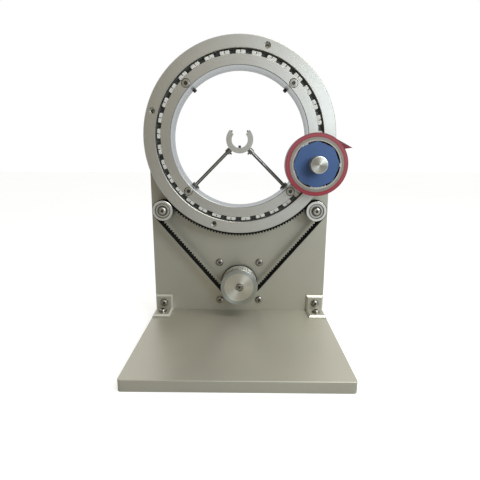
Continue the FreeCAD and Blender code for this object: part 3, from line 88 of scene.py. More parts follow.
class Finish:
    """A material as it is built up: one shader and the patterns that feed it."""

    def __init__(self, name, metal=0.0, rough=0.5):
        self.material = bpy.data.materials.new(name)
        self.material.use_nodes = True
        self.tree = self.material.node_tree
        self.shader = self.tree.nodes["Principled BSDF"]
        self.set("Metallic", metal)
        self.set("Roughness", rough)

    def set(self, socket, value):
        self.shader.inputs[socket].default_value = value

    def feed(self, socket, source):
        self.tree.links.new(source, self.shader.inputs[socket])

    def node(self, kind, inputs=None, **settings):
        return add_node(self.tree, kind, inputs, **settings)

    def place(self, centre=(0, 0, 0), turn=(0, 0, 0), stretch=(1, 1, 1)):
        """Object coordinates measured from a centre, turned and stretched for a pattern."""
        coordinates = self.node("TexCoord")
        mapped = self.node("Mapping", {"Vector": coordinates.outputs["Object"], "Location": centre,
                                       "Rotation": turn, "Scale": stretch}, vector_type="TEXTURE")
        return mapped.outputs["Vector"]

    def noise(self, vector, scale, detail=2.0):
        made = self.node("TexNoise", {"Vector": vector, "Scale": scale, "Detail": detail})
        return made.outputs["Fac"]

    def line_noise(self, along, scale, detail=2.0):
        made = self.node("TexNoise", {"W": along, "Scale": scale, "Detail": detail},
                         noise_dimensions="1D")
        return made.outputs["Fac"]

    def radius(self, centre):
        """Distance from an axis along Y."""
        flat = self.node("VectorMath", {0: self.place(centre), 1: (1, 0, 1)}, operation="MULTIPLY")
        length = self.node("VectorMath", {0: flat.outputs[0]}, operation="LENGTH")
        return length.outputs["Value"]

    def depth(self):
        """Distance along Y."""
        split = self.node("SeparateXYZ", {0: self.place()})
        return split.outputs["Y"]

    def height(self, centre):
        """Height above an axis along Y."""
        split = self.node("SeparateXYZ", {0: self.place(centre)})
        return split.outputs["Z"]

    def facing(self):
        """The way that a face looks."""
        return self.node("NewGeometry").outputs["Normal"]

    def maths(self, operation, a, b=0.0):
        return self.node("Math", {0: a, 1: b}, operation=operation).outputs[0]

    def both(self, first, second):
        """One share times another: 1 only where both are."""
        return self.maths("MULTIPLY", first, second)

    def mixed(self, first, second, share=0.5):
        """Two patterns added together."""
        return self.maths("ADD", self.both(first, 1 - share), self.both(second, share))

    def within(self, value, low, high, soft=0.0002):
        """1 between two values and 0 outside, with a soft step."""
        rising = self.between(value, 0, 1, low - soft, low + soft)
        falling = self.between(value, 1, 0, high - soft, high + soft)
        return self.both(rising, falling)

    def between(self, pattern, low, high, start=0.3, stop=0.7):
        """Goes from low to high while the pattern goes from start to stop."""
        made = self.node("MapRange", {"Value": pattern, "From Min": start, "From Max": stop,
                                      "To Min": low, "To Max": high})
        return made.outputs["Result"]

    def paint(self, pattern, *stops):
        """Colours the surface along a pattern."""
        self.feed("Base Color", colour_ramp(self.tree, pattern, *stops))

    def vary(self, pattern, colour, dark, light):
        """Colours the surface with one colour, made darker and lighter by a pattern."""
        self.paint(pattern, (0.3, tint(colour, dark)), (0.7, tint(colour, light)))

    def roughen(self, pattern, low, high):
        self.feed("Roughness", self.between(pattern, low, high))

    def blend(self, share, first, second):
        """One colour or pattern laid over another by a share."""
        made = self.node("Mix", {"Factor": share}, data_type="RGBA")
        for slot, value in ((6, first), (7, second)):
            if isinstance(value, bpy.types.NodeSocket):
                self.tree.links.new(value, made.inputs[slot])
            else:
                made.inputs[slot].default_value = (*value, 1)
        return made.outputs[2]

    def lay_over(self, share, colour, most=1.0):
        """Lays one more colour over the base colour, by a share of at most the last value."""
        base = self.shader.inputs["Base Color"].links[0].from_socket
        self.feed("Base Color", self.blend(self.both(share, most), base, colour))

    def slanted(self):
        """1 on faces that stand at a slant, such as chamfers, and 0 on the straight ones."""
        straight = self.node("VectorMath", {0: self.facing()}, operation="ABSOLUTE")
        parts = self.node("SeparateXYZ", {0: straight.outputs[0]}).outputs
        most = self.maths("MAXIMUM", self.maths("MAXIMUM", parts["X"], parts["Y"]), parts["Z"])
        return self.between(most, 1, 0, 0.80, 0.95)

    def bump(self, height, strength, distance):
        made = self.node("Bump", {"Height": height, "Strength": strength, "Distance": distance})
        self.feed("Normal", made.outputs["Normal"])


ALUMINIUM = (0.60, 0.595, 0.555)
BRIGHT_ALUMINIUM = (0.74, 0.735, 0.69)
PAINTED_BORE_REFLECTION = (0.36, 0.385, 0.405)


def blasted_plate(name="blasted_plate", edges=False):
    """Bead blasted and anodised plate: a fine even grain, faint clouds, and, where asked, chamfers
    painted paler as a painted highlight.
    """
    finish = Finish(name, metal=0.62)
    here = finish.place()
    clouds = finish.noise(here, 6, 3)
    grain = finish.noise(here, 1300, 2)
    finish.vary(finish.mixed(clouds, grain), (0.44, 0.425, 0.356), 0.9, 1.1)
    finish.roughen(clouds, 0.36, 0.44)
    finish.bump(grain, 0.3, 0.03 * MM)
    if edges:
        # Painted highlight: the chamfers painted paler.
        finish.lay_over(finish.slanted(), (0.70, 0.70, 0.64), 0.6)
    return finish


def bore_wall(finish):
    """Painted reflection round the bore: the bare metal there painted bluish. A painted shade line
    at its front edge, and a seam behind it.
    """
    radius = finish.radius(RING_AXIS)
    # Painted reflection: the bore wall painted bluish.
    wall = finish.between(radius, 1, 0, BORE_RADIUS + 0.1 * MM, BORE_RADIUS + 0.5 * MM)
    finish.lay_over(wall, PAINTED_BORE_REFLECTION, 0.9)
    # Painted shade: a dark line along the bore's front edge.
    front = finish.between(finish.depth(), 1, 0, RING_FACE + 0.3 * MM, RING_FACE + 0.8 * MM)
    edge = finish.between(radius, 1, 0, BORE_RADIUS + 0.7 * MM, BORE_RADIUS + 1.1 * MM)
    finish.lay_over(finish.both(front, edge), (0.13, 0.14, 0.145), 0.8)
    seam = finish.within(finish.depth(), -8.6 * MM, -7.2 * MM)
    finish.lay_over(finish.both(wall, seam), (0.12, 0.13, 0.14), 0.7)


def turned_metal(name, centre, colour=ALUMINIUM, rough=(0.34, 0.42), anisotropy=0.0):
    """Metal turned on a lathe: fine rings round an axis along Y, with a conic sheen if asked."""
    finish = Finish(name, metal=1.0)
    along = finish.maths("ADD", finish.radius(centre), finish.both(finish.depth(), 0.7))
    rings = finish.line_noise(along, 1500, 2)
    broad = finish.line_noise(along, 130, 2)
    blotches = finish.noise(finish.place(centre), 22, 3)
    pattern = finish.mixed(finish.mixed(rings, broad), blotches, 0.4)
    finish.vary(pattern, colour, 0.93, 1.05)
    finish.roughen(rings, *rough)
    finish.bump(rings, 0.1, 0.02 * MM)
    if anisotropy:
        finish.set("Anisotropic", anisotropy)
        finish.set("Anisotropic Rotation", 0.25)
        finish.feed("Tangent", finish.node("Tangent", direction_type="RADIAL", axis="Y").outputs[0])
    return finish


def ring_metal():
    """The slewing ring: satin turned faces, a bore painted bluish as a painted reflection, grease
    and painted shade down in its slot, and painted shade lines at its edges.
    """
    finish = turned_metal("slewing_ring", RING_AXIS)
    radius = finish.radius(RING_AXIS)
    bore_wall(finish)
    # Painted shade: a darker line on the ring's outer chamfer.
    rim = finish.between(radius, 0, 1, 150.7 * MM, 151.0 * MM)
    finish.lay_over(rim, (0.24, 0.24, 0.22), 0.7)
    # Dark grease in patches, together with painted shade: the slot's floor below the face painted
    # near black.
    in_slot = finish.within(radius, RING_SLOT[0], RING_SLOT[1], 0.15 * MM)
    below = finish.between(finish.depth(), 0, 1, RING_FACE + 0.3 * MM, RING_FACE + 0.9 * MM)
    smear = finish.between(finish.noise(finish.place(), 240, 3), 0.85, 1.0)
    grease_and_shade = finish.both(finish.both(in_slot, below), smear)
    finish.lay_over(grease_and_shade, (0.030, 0.038, 0.038), 1.0)
    # Painted shade: the slot's outer wall painted dark, only over the upper part of the ring.
    outer_wall = finish.between(radius, 0, 0.8, 132.1 * MM, 132.3 * MM)
    upper = finish.between(finish.height(RING_AXIS), 0, 1, 40 * MM, 110 * MM)
    finish.lay_over(finish.both(finish.both(outer_wall, upper), in_slot), (0.22, 0.25, 0.24))
    # Painted shade: a darker line along the slot's outer edge.
    outer_lip = finish.within(radius, 132.2 * MM, 133.2 * MM, 0.1 * MM)
    finish.lay_over(outer_lip, (0.30, 0.30, 0.28), 0.7)
    # Painted shade on the slot's inner wall below the face.
    inner_lip = finish.within(radius, 124.2 * MM, 125.6 * MM)
    finish.lay_over(finish.both(inner_lip, below), (0.30, 0.31, 0.29), 0.7)
    return finish.material


def plate_with_bore():
    """The upright plate: blasted faces, and the same painted bluish reflection in its bore."""
    finish = blasted_plate("upright_plate")
    radius = finish.radius(RING_AXIS)
    # Painted reflection: the bore wall painted bluish.
    wall = finish.between(radius, 1, 0, BORE_RADIUS + 0.2 * MM, BORE_RADIUS + 0.6 * MM)
    finish.lay_over(wall, PAINTED_BORE_REFLECTION, 0.9)
    return finish.material


def idler_metal(name, centre):
    """Flanged idler: bright turned rims, a painted shade ring in the groove where the wheel is cut
    back, and the wheel behind its front flange painted near black as painted shade.
    """
    finish = turned_metal(name, centre, BRIGHT_ALUMINIUM)
    # Painted shade: a dark ring in the groove where the wheel is cut back.
    painted_groove_shade = finish.within(finish.radius(centre), 10.9 * MM, 12.7 * MM, 0.25 * MM)
    finish.lay_over(painted_groove_shade, (0.10, 0.10, 0.09), 0.8)
    # Painted shade: all of the wheel behind its front flange painted near black.
    behind = finish.between(finish.depth(), 0, 1, -26.9 * MM, -26.5 * MM)
    finish.lay_over(behind, (0.012, 0.012, 0.012), 0.9)
    return finish.material


def bearing_steel(name, centre):
    """Ball bearing: ground outer race and a darker shield."""
    finish = turned_metal(name, centre, (0.66, 0.65, 0.60), (0.2, 0.3))
    shield = finish.within(finish.radius(centre), 5.9 * MM, 8.5 * MM, 0.25 * MM)
    finish.lay_over(shield, (0.05, 0.045, 0.04), 0.85)
    return finish.material


def pulley_metal():
    """Drive pulley: conic sheen on its end, a painted shade line in its groove, and its rim painted
    darker and bluish as a painted reflection.
    """
    finish = turned_metal("turned_pulley", PULLEY_AXIS, (0.60, 0.58, 0.52), (0.34, 0.42), 0.8)
    radius = finish.radius(PULLEY_AXIS)
    front = finish.between(finish.depth(), 1, 0, -33.6 * MM, -33.2 * MM)
    # Painted shade: a dark line in the groove. Painted reflection: the rim beyond it painted darker
    # and bluish.
    groove = finish.within(radius, 22.9 * MM, 24.1 * MM, 0.3 * MM)
    band = finish.between(radius, 0, 1, 23.9 * MM, 24.6 * MM)
    finish.lay_over(finish.both(band, front), (0.34, 0.365, 0.355), 0.8)
    finish.lay_over(finish.both(groove, front), (0.12, 0.12, 0.11), 0.8)
    return finish.material


def knob_metal():
    """Turned knob: conic sheen on its end, a painted highlight on its broken edge, and painted
    shade on its fluted side.
    """
    finish = turned_metal("turned_knob", SPOOL_AXIS, (0.42, 0.41, 0.365), (0.38, 0.46), 0.8)
    # Painted highlight: the broken edge painted bright.
    broken_edge = finish.between(finish.radius(SPOOL_AXIS), 0, 1, 11.2 * MM, 11.6 * MM)
    finish.lay_over(broken_edge, (0.72, 0.72, 0.69), 0.8)
    # Painted shade: the fluted side painted darker.
    side = finish.between(finish.depth(), 0, 1, -77.4 * MM, -77.0 * MM)
    finish.lay_over(side, (0.30, 0.285, 0.25), 0.8)
    return finish.material


def flange_metal():
    """Rear pulley flange: bright on its face, and black along its edge as painted shade."""
    finish = turned_metal("rear_flange", PULLEY_AXIS, BRIGHT_ALUMINIUM)
    # Painted shade: the flange's outer edge painted black.
    edge = finish.between(finish.radius(PULLEY_AXIS), 0, 1, 30.1 * MM, 30.5 * MM)
    finish.lay_over(edge, (0.008, 0.009, 0.009), 1.0)
    return finish.material


def milled_metal():
    """Milled aluminium: faint cutter lines along X under a fine grain."""
    finish = Finish("milled_aluminium", metal=0.9)
    lines = finish.noise(finish.place(stretch=(0.05, 1, 1)), 60, 3)
    grain = finish.noise(finish.place(), 1400, 2)
    finish.vary(finish.mixed(lines, grain), ALUMINIUM, 0.86, 1.02)
    finish.roughen(lines, 0.34, 0.42)
    finish.bump(grain, 0.25, 0.02 * MM)
    return finish.material


def plated_steel(name="plated_steel", colour=(0.36, 0.345, 0.31), rough=(0.2, 0.32)):
    """Plated steel: faint stains, and fine scratches along Y."""
    finish = Finish(name, metal=1.0)
    stains = finish.noise(finish.place(), 320, 3)
    scratches = finish.noise(finish.place(stretch=(1, 0.15, 1)), 900, 2)
    finish.vary(stains, colour, 0.75, 1.15)
    finish.roughen(scratches, *rough)
    finish.bump(scratches, 0.15, 0.03 * MM)
    return finish


def rod_steel():
    """Ground rods: every side but the one that faces the front painted dark as painted shade, which
    leaves a painted highlight line along that side.
    """
    finish = plated_steel("ground_rod", (0.40, 0.40, 0.38), (0.26, 0.36))
    # Painted shade over all faces that do not look to the front, leaving a painted highlight line.
    backward = finish.node("SeparateXYZ", {0: finish.facing()}).outputs["Y"]
    film = finish.between(backward, 0, 1, -0.98, -0.90)
    finish.lay_over(film, (0.05, 0.05, 0.045), 0.95)
    return finish.material


def black_oxide():
    """Blackened steel with worn patches."""
    finish = Finish("black_oxide")
    colour = (0.022, 0.022, 0.023)
    patches = finish.noise(finish.place(), 600, 3)
    finish.paint(patches, (0.35, tint(colour, 0.6)), (0.75, tint(colour, 1.5)))
    finish.roughen(patches, 0.35, 0.5)
    finish.bump(patches, 0.2, 0.03 * MM)
    return finish.material


def slide_plastic():
    """Pale slide pads with dust and grease on them."""
    finish = Finish("slide_plastic")
    dust = finish.noise(finish.place(), 260, 4)
    finish.paint(dust, (0.3, (0.46, 0.45, 0.41)), (0.65, (0.66, 0.655, 0.62)))
    finish.roughen(dust, 0.34, 0.5)
    finish.bump(dust, 0.2, 0.05 * MM)
    return finish.material


def belt_rubber():
    """Toothed belt: moulded rubber with a woven nylon face on its teeth."""
    finish = Finish("belt_rubber")
    weave = finish.noise(finish.place(stretch=(1, 0.2, 1)), 900, 2)
    finish.paint(weave, (0.3, (0.003, 0.0032, 0.003)), (0.75, (0.008, 0.0085, 0.008)))
    finish.roughen(weave, 0.7, 0.85)
    finish.set("Specular IOR Level", 0.1)
    finish.bump(weave, 0.4, 0.08 * MM)
    return finish.material


def stacked_laminations():
    """Motor stack: black lacquer over thin sheets stacked along Y."""
    finish = Finish("stacked_laminations")
    here = finish.place()
    sheets = finish.node("TexWave", {"Vector": here, "Scale": 320, "Distortion": 0.4, "Detail": 1},
                         wave_type="BANDS", bands_direction="Y")
    spots = finish.noise(here, 180, 3)
    finish.paint(spots, (0.3, (0.014, 0.014, 0.015)), (0.7, (0.035, 0.035, 0.036)))
    finish.roughen(spots, 0.32, 0.48)
    finish.bump(sheets.outputs["Fac"], 0.5, 0.12 * MM)
    return finish.material


def cast_aluminium():
    """Cast motor caps: a sandy skin with broad clouds."""
    finish = Finish("cast_aluminium", metal=1.0)
    here = finish.place()
    sand = finish.noise(here, 700, 3)
    clouds = finish.noise(here, 25, 2)
    finish.paint(clouds, (0.3, (0.38, 0.38, 0.37)), (0.7, (0.47, 0.47, 0.46)))
    finish.roughen(sand, 0.4, 0.55)
    finish.bump(sand, 0.45, 0.1 * MM)
    return finish.material


def socket_plastic():
    """The motor's socket: pale moulded plastic, yellowed in places."""
    finish = Finish("socket_plastic")
    here = finish.place()
    aged = finish.noise(here, 60, 2)
    finish.paint(aged, (0.3, (0.66, 0.65, 0.60)), (0.7, (0.76, 0.75, 0.71)))
    finish.roughen(aged, 0.36, 0.46)
    finish.bump(finish.noise(here, 1100, 2), 0.2, 0.04 * MM)
    return finish.material


def hub_plastic():
    """Moulded blue hub: faint flow marks, handling marks and a fine skin."""
    finish = Finish("hub_plastic")
    here = finish.place(SPOOL_AXIS)
    flow = finish.noise(here, 28, 3)
    aslant = finish.place(SPOOL_AXIS, turn=(0, 0.7, 0), stretch=(0.12, 1, 1))
    scuffs = finish.noise(aslant, 300, 3)
    finish.paint(flow, (0.3, (0.031, 0.080, 0.215)), (0.7, (0.039, 0.096, 0.245)))
    finish.roughen(scuffs, 0.36, 0.5)
    finish.bump(finish.noise(here, 1300, 2), 0.2, 0.04 * MM)
    return finish.material


def wound_tape():
    """Red film tape: its edge shows the wound layers as fine rings, darker at the inner and outer
    radius and paler between, with a deeper red towards the bottom as painted shade.
    """
    finish = Finish("wound_tape")
    radius = finish.radius(SPOOL_AXIS)
    layers = finish.line_noise(radius, 2600, 2)
    outward = finish.between(radius, 0, 1, *TAPE_RADII)
    finish.paint(finish.mixed(layers, outward, 0.72),
                 (0.14, (0.15, 0.020, 0.028)), (0.28, (0.29, 0.030, 0.044)),
                 (0.55, (0.31, 0.050, 0.068)), (0.78, (0.21, 0.028, 0.040)),
                 (0.92, (0.16, 0.020, 0.030)))
    # Painted shade: the lower part of the roll painted a deeper red.
    low = finish.between(finish.height(SPOOL_AXIS), 1, 0, -46 * MM, 10 * MM)
    finish.lay_over(low, (0.27, 0.008, 0.016), 0.55)
    finish.roughen(layers, 0.34, 0.5)
    finish.bump(layers, 0.3, 0.06 * MM)
    return finish.material


def folded_tape():
    """The folded end: painted light and shade in bands that run to its tip, with painted shade
    along its edges and creases and a paler painted lit band between them.
    """
    finish = Finish("folded_tape")
    # Painted light and shade across the fold: the slope from the tip sets dark edges and creases
    # and a paler band, with faint wrinkles.
    split = finish.node("SeparateXYZ", {0: finish.place(TAPE_TIP)})
    back_from_tip = finish.both(split.outputs["X"], -1.0)
    slope = finish.maths("ARCTAN2", split.outputs["Z"], back_from_tip)
    across = finish.between(slope, 0, 1, math.radians(-8), math.radians(29))
    wrinkles = finish.line_noise(across, 14, 2)
    finish.paint(finish.mixed(across, wrinkles, 0.12),
                 (0.08, (0.05, 0.008, 0.014)), (0.24, (0.11, 0.010, 0.018)),
                 (0.36, (0.21, 0.022, 0.034)), (0.56, (0.19, 0.016, 0.026)),
                 (0.68, (0.09, 0.008, 0.014)), (0.80, (0.12, 0.014, 0.020)),
                 (0.93, (0.02, 0.005, 0.007)))
    finish.set("Specular IOR Level", 0.3)
    finish.roughen(wrinkles, 0.45, 0.6)
    finish.bump(wrinkles, 0.4, 0.1 * MM)
    return finish.material


def wound_board(name="wound_board", colour=(0.255, 0.23, 0.20)):
    """Cardboard core: wound plies as fine rings, pinkish outside and pale at its inner edge."""
    finish = Finish(name)
    radius = finish.radius(SPOOL_AXIS)
    plies = finish.line_noise(radius, 1900, 2)
    fibres = finish.noise(finish.place(SPOOL_AXIS), 900, 4)
    pattern = finish.mixed(plies, fibres)
    finish.paint(pattern, (0.3, tint(colour, 0.7)), (0.5, colour), (0.72, tint(colour, 1.3)))
    beside_tape = finish.between(radius, 0, 1, 39.6 * MM, 40.8 * MM)
    finish.lay_over(beside_tape, (0.24, 0.155, 0.145), 0.7)
    inner_edge = finish.within(radius, 35.9 * MM, 37.0 * MM, 0.3 * MM)
    finish.lay_over(inner_edge, (0.50, 0.50, 0.48), 0.7)
    finish.roughen(fibres, 0.75, 0.95)
    finish.bump(pattern, 0.6, 0.15 * MM)
    return finish


def core_board():
    """The core, black with shadow and dirt down inside."""
    finish = wound_board()
    down = finish.between(finish.depth(), 0, 1, -57.1 * MM, -56.7 * MM)
    inside = finish.between(finish.radius(SPOOL_AXIS), 1, 0, 35.4 * MM, 35.7 * MM)
    finish.lay_over(finish.both(down, inside), (0.012, 0.014, 0.018), 0.95)
    return finish.material


def coat(material, *names):
    """Gives CAD nodes their finish."""
    for name in names:
        slots = NODES[name].data.materials
        slots.clear()
        slots.append(material)


def coat_machine():
    coat(blasted_plate().material, "base_plate")
    coat(plate_with_bore(), "upright_plate")
    coat(blasted_plate("bracket_plate", edges=True).material, "bracket_left", "bracket_right")
    coat(ring_metal(), "bearing_outer_ring", "bearing_inner_ring", "bearing_spacer")
    coat(pulley_metal(), "drive_pulley", "pulley_flange_front")
    coat(flange_metal(), "pulley_flange_rear")
    for side, centre in IDLER_AXES.items():
        coat(idler_metal("idler_metal_" + side, centre), "idler_wheel_" + side)
        coat(bearing_steel("bearing_steel_" + side, centre), "idler_bearings_" + side)
    coat(milled_metal(), "work_rest", "spool_arm")
    coat(plated_steel("dull_steel", (0.20, 0.195, 0.175)).material, "rod_collars", "rod_feet")
    coat(plated_steel().material, "bracket_washers", "motor_shaft", "motor_nuts",
         "idler_post_left", "idler_post_right", "arm_screws", "spool_spindle", "brake_washer",
         "brake_spring", "motor_bearing")
    coat(rod_steel(), "guide_rod_left", "guide_rod_right")
    coat(black_oxide(), "collar_screws", "foot_screws", "rest_grub_screw", "horn_grub_screws",
         "bore_grub_screws")
    coat(slide_plastic(), "slide_pads")
    coat(belt_rubber(), "drive_belt")
    coat(stacked_laminations(), "motor_stack")
    coat(cast_aluminium(), "motor_front_cap", "motor_rear_cap")
    coat(socket_plastic(), "motor_socket")
    coat(hub_plastic(), "spool_hub")
    coat(wound_tape(), "tape_roll")
    coat(core_board(), "tape_core")


# ---------------------------------------------------------------- camera, floor, light

def set_camera():
    clear_selection()
    bpy.ops.object.camera_add(location=(0.00826, -0.6375, 0.2887))
    camera = bpy.context.object
    swing, dip, roll = 0.66, 12.17, 0.12
    turn = (Matrix.Rotation(math.radians(swing), 4, "Z")
            @ Matrix.Rotation(math.radians(90 - dip), 4, "X")
            @ Matrix.Rotation(math.radians(roll), 4, "Z"))
    camera.rotation_euler = turn.to_euler()
    camera.data.sensor_width = 36
    camera.data.lens = 28.21
    camera.data.shift_y = -0.0071
    camera.data.dof.use_dof = False
    bpy.context.scene.camera = camera


def lay_floor():
    """A pale floor. It keeps the machine's shadow, and glows only to rays that look at it: those of
    the camera, those through glass, and mirrored ones that run back behind the machine."""
    clear_selection()
    bpy.ops.mesh.primitive_plane_add(size=12, location=(0, 0, -0.5 * MM))
    floor = bpy.context.object
    floor.name = "floor"
    finish = Finish("studio_floor", rough=0.9)
    mottle = finish.noise(finish.place(), 3, 2)
    finish.paint(mottle, (0.3, (0.41, 0.41, 0.40)), (0.7, (0.44, 0.44, 0.43)))
    path = finish.node("LightPath").outputs
    behind = finish.between(finish.depth(), 0, 1, 0.0, 0.3)
    mirrored = finish.both(behind, path["Is Glossy Ray"])
    looked_at = finish.maths("MAXIMUM", path["Is Camera Ray"], path["Is Transmission Ray"])
    glow = finish.node("Emission", {"Color": (1, 1, 1, 1), "Strength": 0.70})
    lifted = finish.node("AddShader", {0: finish.shader.outputs[0], 1: glow.outputs[0]})
    either = finish.node("MixShader", {"Fac": finish.maths("MAXIMUM", looked_at, mirrored),
                                       1: finish.shader.outputs[0], 2: lifted.outputs[0]})
    finish.tree.links.new(either.outputs[0], finish.tree.nodes["Material Output"].inputs["Surface"])
    floor.data.materials.append(finish.material)


def light_room():
    """A white backdrop, and a soft room in front of it: dim and warm on the left, bright and cool
    on the right. The backdrop is white to the camera, through glass, and in what metal mirrors
    from behind the machine."""
    world = bpy.data.worlds.new("soft_room")
    bpy.context.scene.world = world
    world.use_nodes = True
    tree = world.node_tree
    tree.nodes.clear()

    def node(kind, inputs=None, **settings):
        return add_node(tree, kind, inputs, **settings)

    def maths(operation, a, b):
        return node("Math", {0: a, 1: b}, operation=operation).outputs[0]

    way = node("TexCoord").outputs["Generated"]
    across = node("VectorMath", {0: way, 1: (0.94, 0.0, 0.34)}, operation="DOT_PRODUCT")
    share = node("MapRange", {"Value": across.outputs["Value"], "From Min": -0.5, "From Max": 0.5})
    colour = colour_ramp(tree, share.outputs["Result"],
                         (0.12, (0.33, 0.275, 0.18)), (0.34, (0.465, 0.415, 0.31)),
                         (0.46, (0.53, 0.485, 0.40)), (0.85, (0.93, 0.965, 1.0)))
    room = node("Background", {"Color": colour, "Strength": 0.78})
    white = node("Background", {"Color": (1, 1, 1, 1), "Strength": 1.0})
    path = node("LightPath").outputs
    behind = maths("GREATER_THAN", node("SeparateXYZ", {0: way}).outputs["Y"], 0.0)
    mirrored = maths("MULTIPLY", behind, path["Is Glossy Ray"])
    looked_at = maths("MAXIMUM", path["Is Camera Ray"], path["Is Transmission Ray"])
    seen = maths("MAXIMUM", looked_at, mirrored)
    either = node("MixShader", {"Fac": seen, 1: room.outputs[0], 2: white.outputs[0]})
    node("OutputWorld", {"Surface": either.outputs[0]})


def hang_lamp(name, place, target, size, watts, colour):
    """A rectangular lamp that looks at a target."""
    clear_selection()
    bpy.ops.object.light_add(type="AREA", location=place)
    lamp = bpy.context.object
    lamp.name = name
    lamp.data.shape = "RECTANGLE"
    lamp.data.size, lamp.data.size_y = size
    lamp.data.energy = watts
    lamp.data.color = colour
    lamp.rotation_euler = (Vector(target) - Vector(place)).to_track_quat("-Z", "Y").to_euler()


# ---------------------------------------------------------------- modelling

# Where the screws' heads sit: depths along Y, and places across and up
BRACKET_MIDDLES = (-0.1344, 0.1344)
UPPER_SCREW_DEPTH, UPPER_SCREW_HEIGHT = -0.0057, 0.0315
FOOT_SCREW_DEPTH, FOOT_SCREW_HEIGHT = -0.020, 0.0217
MOTOR_SCREW_SIDES, MOTOR_SCREW_HEIGHTS = (-0.0348, 0.0348), (0.0355, 0.1051)
RING_SCREW_DEPTH, RING_SCREW_REACH = -0.0194, 0.1165 * math.sqrt(0.5)
IDLER_SCREW_DEPTH = -0.0295
PULLEY_SCREW_DEPTH = -0.028


def turned_block(name, radius, front, back, sides=48):
    """A round block with its axis along Y, to be shaped further."""
    clear_selection()
    bpy.ops.mesh.primitive_cylinder_add(vertices=sides, radius=radius, depth=back - front,
                                        location=(0, (front + back) / 2, 0),
                                        rotation=(math.pi / 2, 0, 0))
    block = bpy.context.object
    block.name = name
    keep_place()
    return block


def keep_place():
    """Moves the active piece's place, turn and scale into its mesh."""
    bpy.ops.object.transform_apply(location=True, rotation=True, scale=True)


def make_active(piece):
    clear_selection()
    piece.select_set(True)
    bpy.context.view_layer.objects.active = piece


def open_mesh(piece, kind="FACE"):
    make_active(piece)
    bpy.ops.object.mode_set(mode="EDIT")
    bpy.ops.mesh.select_mode(type=kind)
    bpy.ops.mesh.select_all(action="DESELECT")


def close_mesh():
    bpy.ops.object.mode_set(mode="OBJECT")


def pick(piece, rule):
    """Selects the faces whose middle and direction pass a rule."""
    bpy.ops.mesh.select_all(action="DESELECT")
    shape = bmesh.from_edit_mesh(piece.data)
    for face in shape.faces:
        face.select_set(bool(rule(face.calc_center_median(), face.normal)))
    bmesh.update_edit_mesh(piece.data)


def pick_end(piece, side):
    """Selects the end faces that look to the front or the back."""
    pick(piece, lambda middle, normal: normal.y * side > 0.9)


def push(distance):
    bpy.ops.mesh.extrude_region_move(TRANSFORM_OT_translate={"value": (0, distance, 0)})


def cut_away(piece, tool):
    """Cuts one shape out of another; the cut faces take the tool's finish."""
    make_active(piece)
    cut = piece.modifiers.new("cut", "BOOLEAN")
    cut.operation, cut.solver, cut.object = "DIFFERENCE", "EXACT", tool
    cut.material_mode = "TRANSFER"
    bpy.ops.object.modifier_apply(modifier=cut.name)
    make_active(tool)
    bpy.ops.object.delete()


def settle(piece, centre=(0, 0, 0), turn=0.0):
    """Turns a piece about X, sets it down at its place and keeps the place in its mesh."""
    make_active(piece)
    piece.rotation_euler.x = turn
    piece.location = centre
    keep_place()


def repeated(piece, spots):
    """Copies of a piece at each spot (centre, turn about X), joined into one."""
    copies = []
    for centre, turn in spots[1:]:
        make_active(piece)
        bpy.ops.object.duplicate(linked=False)
        copies.append(bpy.context.object)
        settle(copies[-1], centre, turn)
    settle(piece, *spots[0])
    make_active(piece)
    for copy in copies:
        copy.select_set(True)
    bpy.ops.object.join()


def hand_over(piece, body, slot, *nodes):
    """Smooths a piece up to its sharp edges, and lets it ride on its body in its nodes' place."""
    make_active(piece)
    bpy.ops.object.shade_smooth_by_angle(angle=math.radians(32))
    if nodes:
        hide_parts(*nodes)
    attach(piece, body)


def socket_screw(name, steel, shade, head, height, key, shank, length, edge):
    """Screw with a rounded head in front of the XZ plane and a shank that goes back from it.

    All sizes are millimetres: radii of the head, key and shank, the head's height, the shank's
    length and the rounding of the head's edge."""
    socket_depth = 2.0
    screw = turned_block(name, head * MM, -height * MM, 0)
    screw.data.materials.append(steel)
    open_mesh(screw)
    pick_end(screw, -1)
    bpy.ops.mesh.bevel(offset=edge * MM, segments=6, affect="EDGES")
    pick_end(screw, 1)
    bpy.ops.mesh.inset(thickness=(head - shank) * MM)
    push(length * MM)
    close_mesh()
    well_in_front, bottom = -1.6 * height * MM, (socket_depth - height) * MM
    hexagon = turned_block("hexagon", key * MM, well_in_front, bottom, 6)
    hexagon.data.materials.append(shade)
    cut_away(screw, hexagon)
    return screw


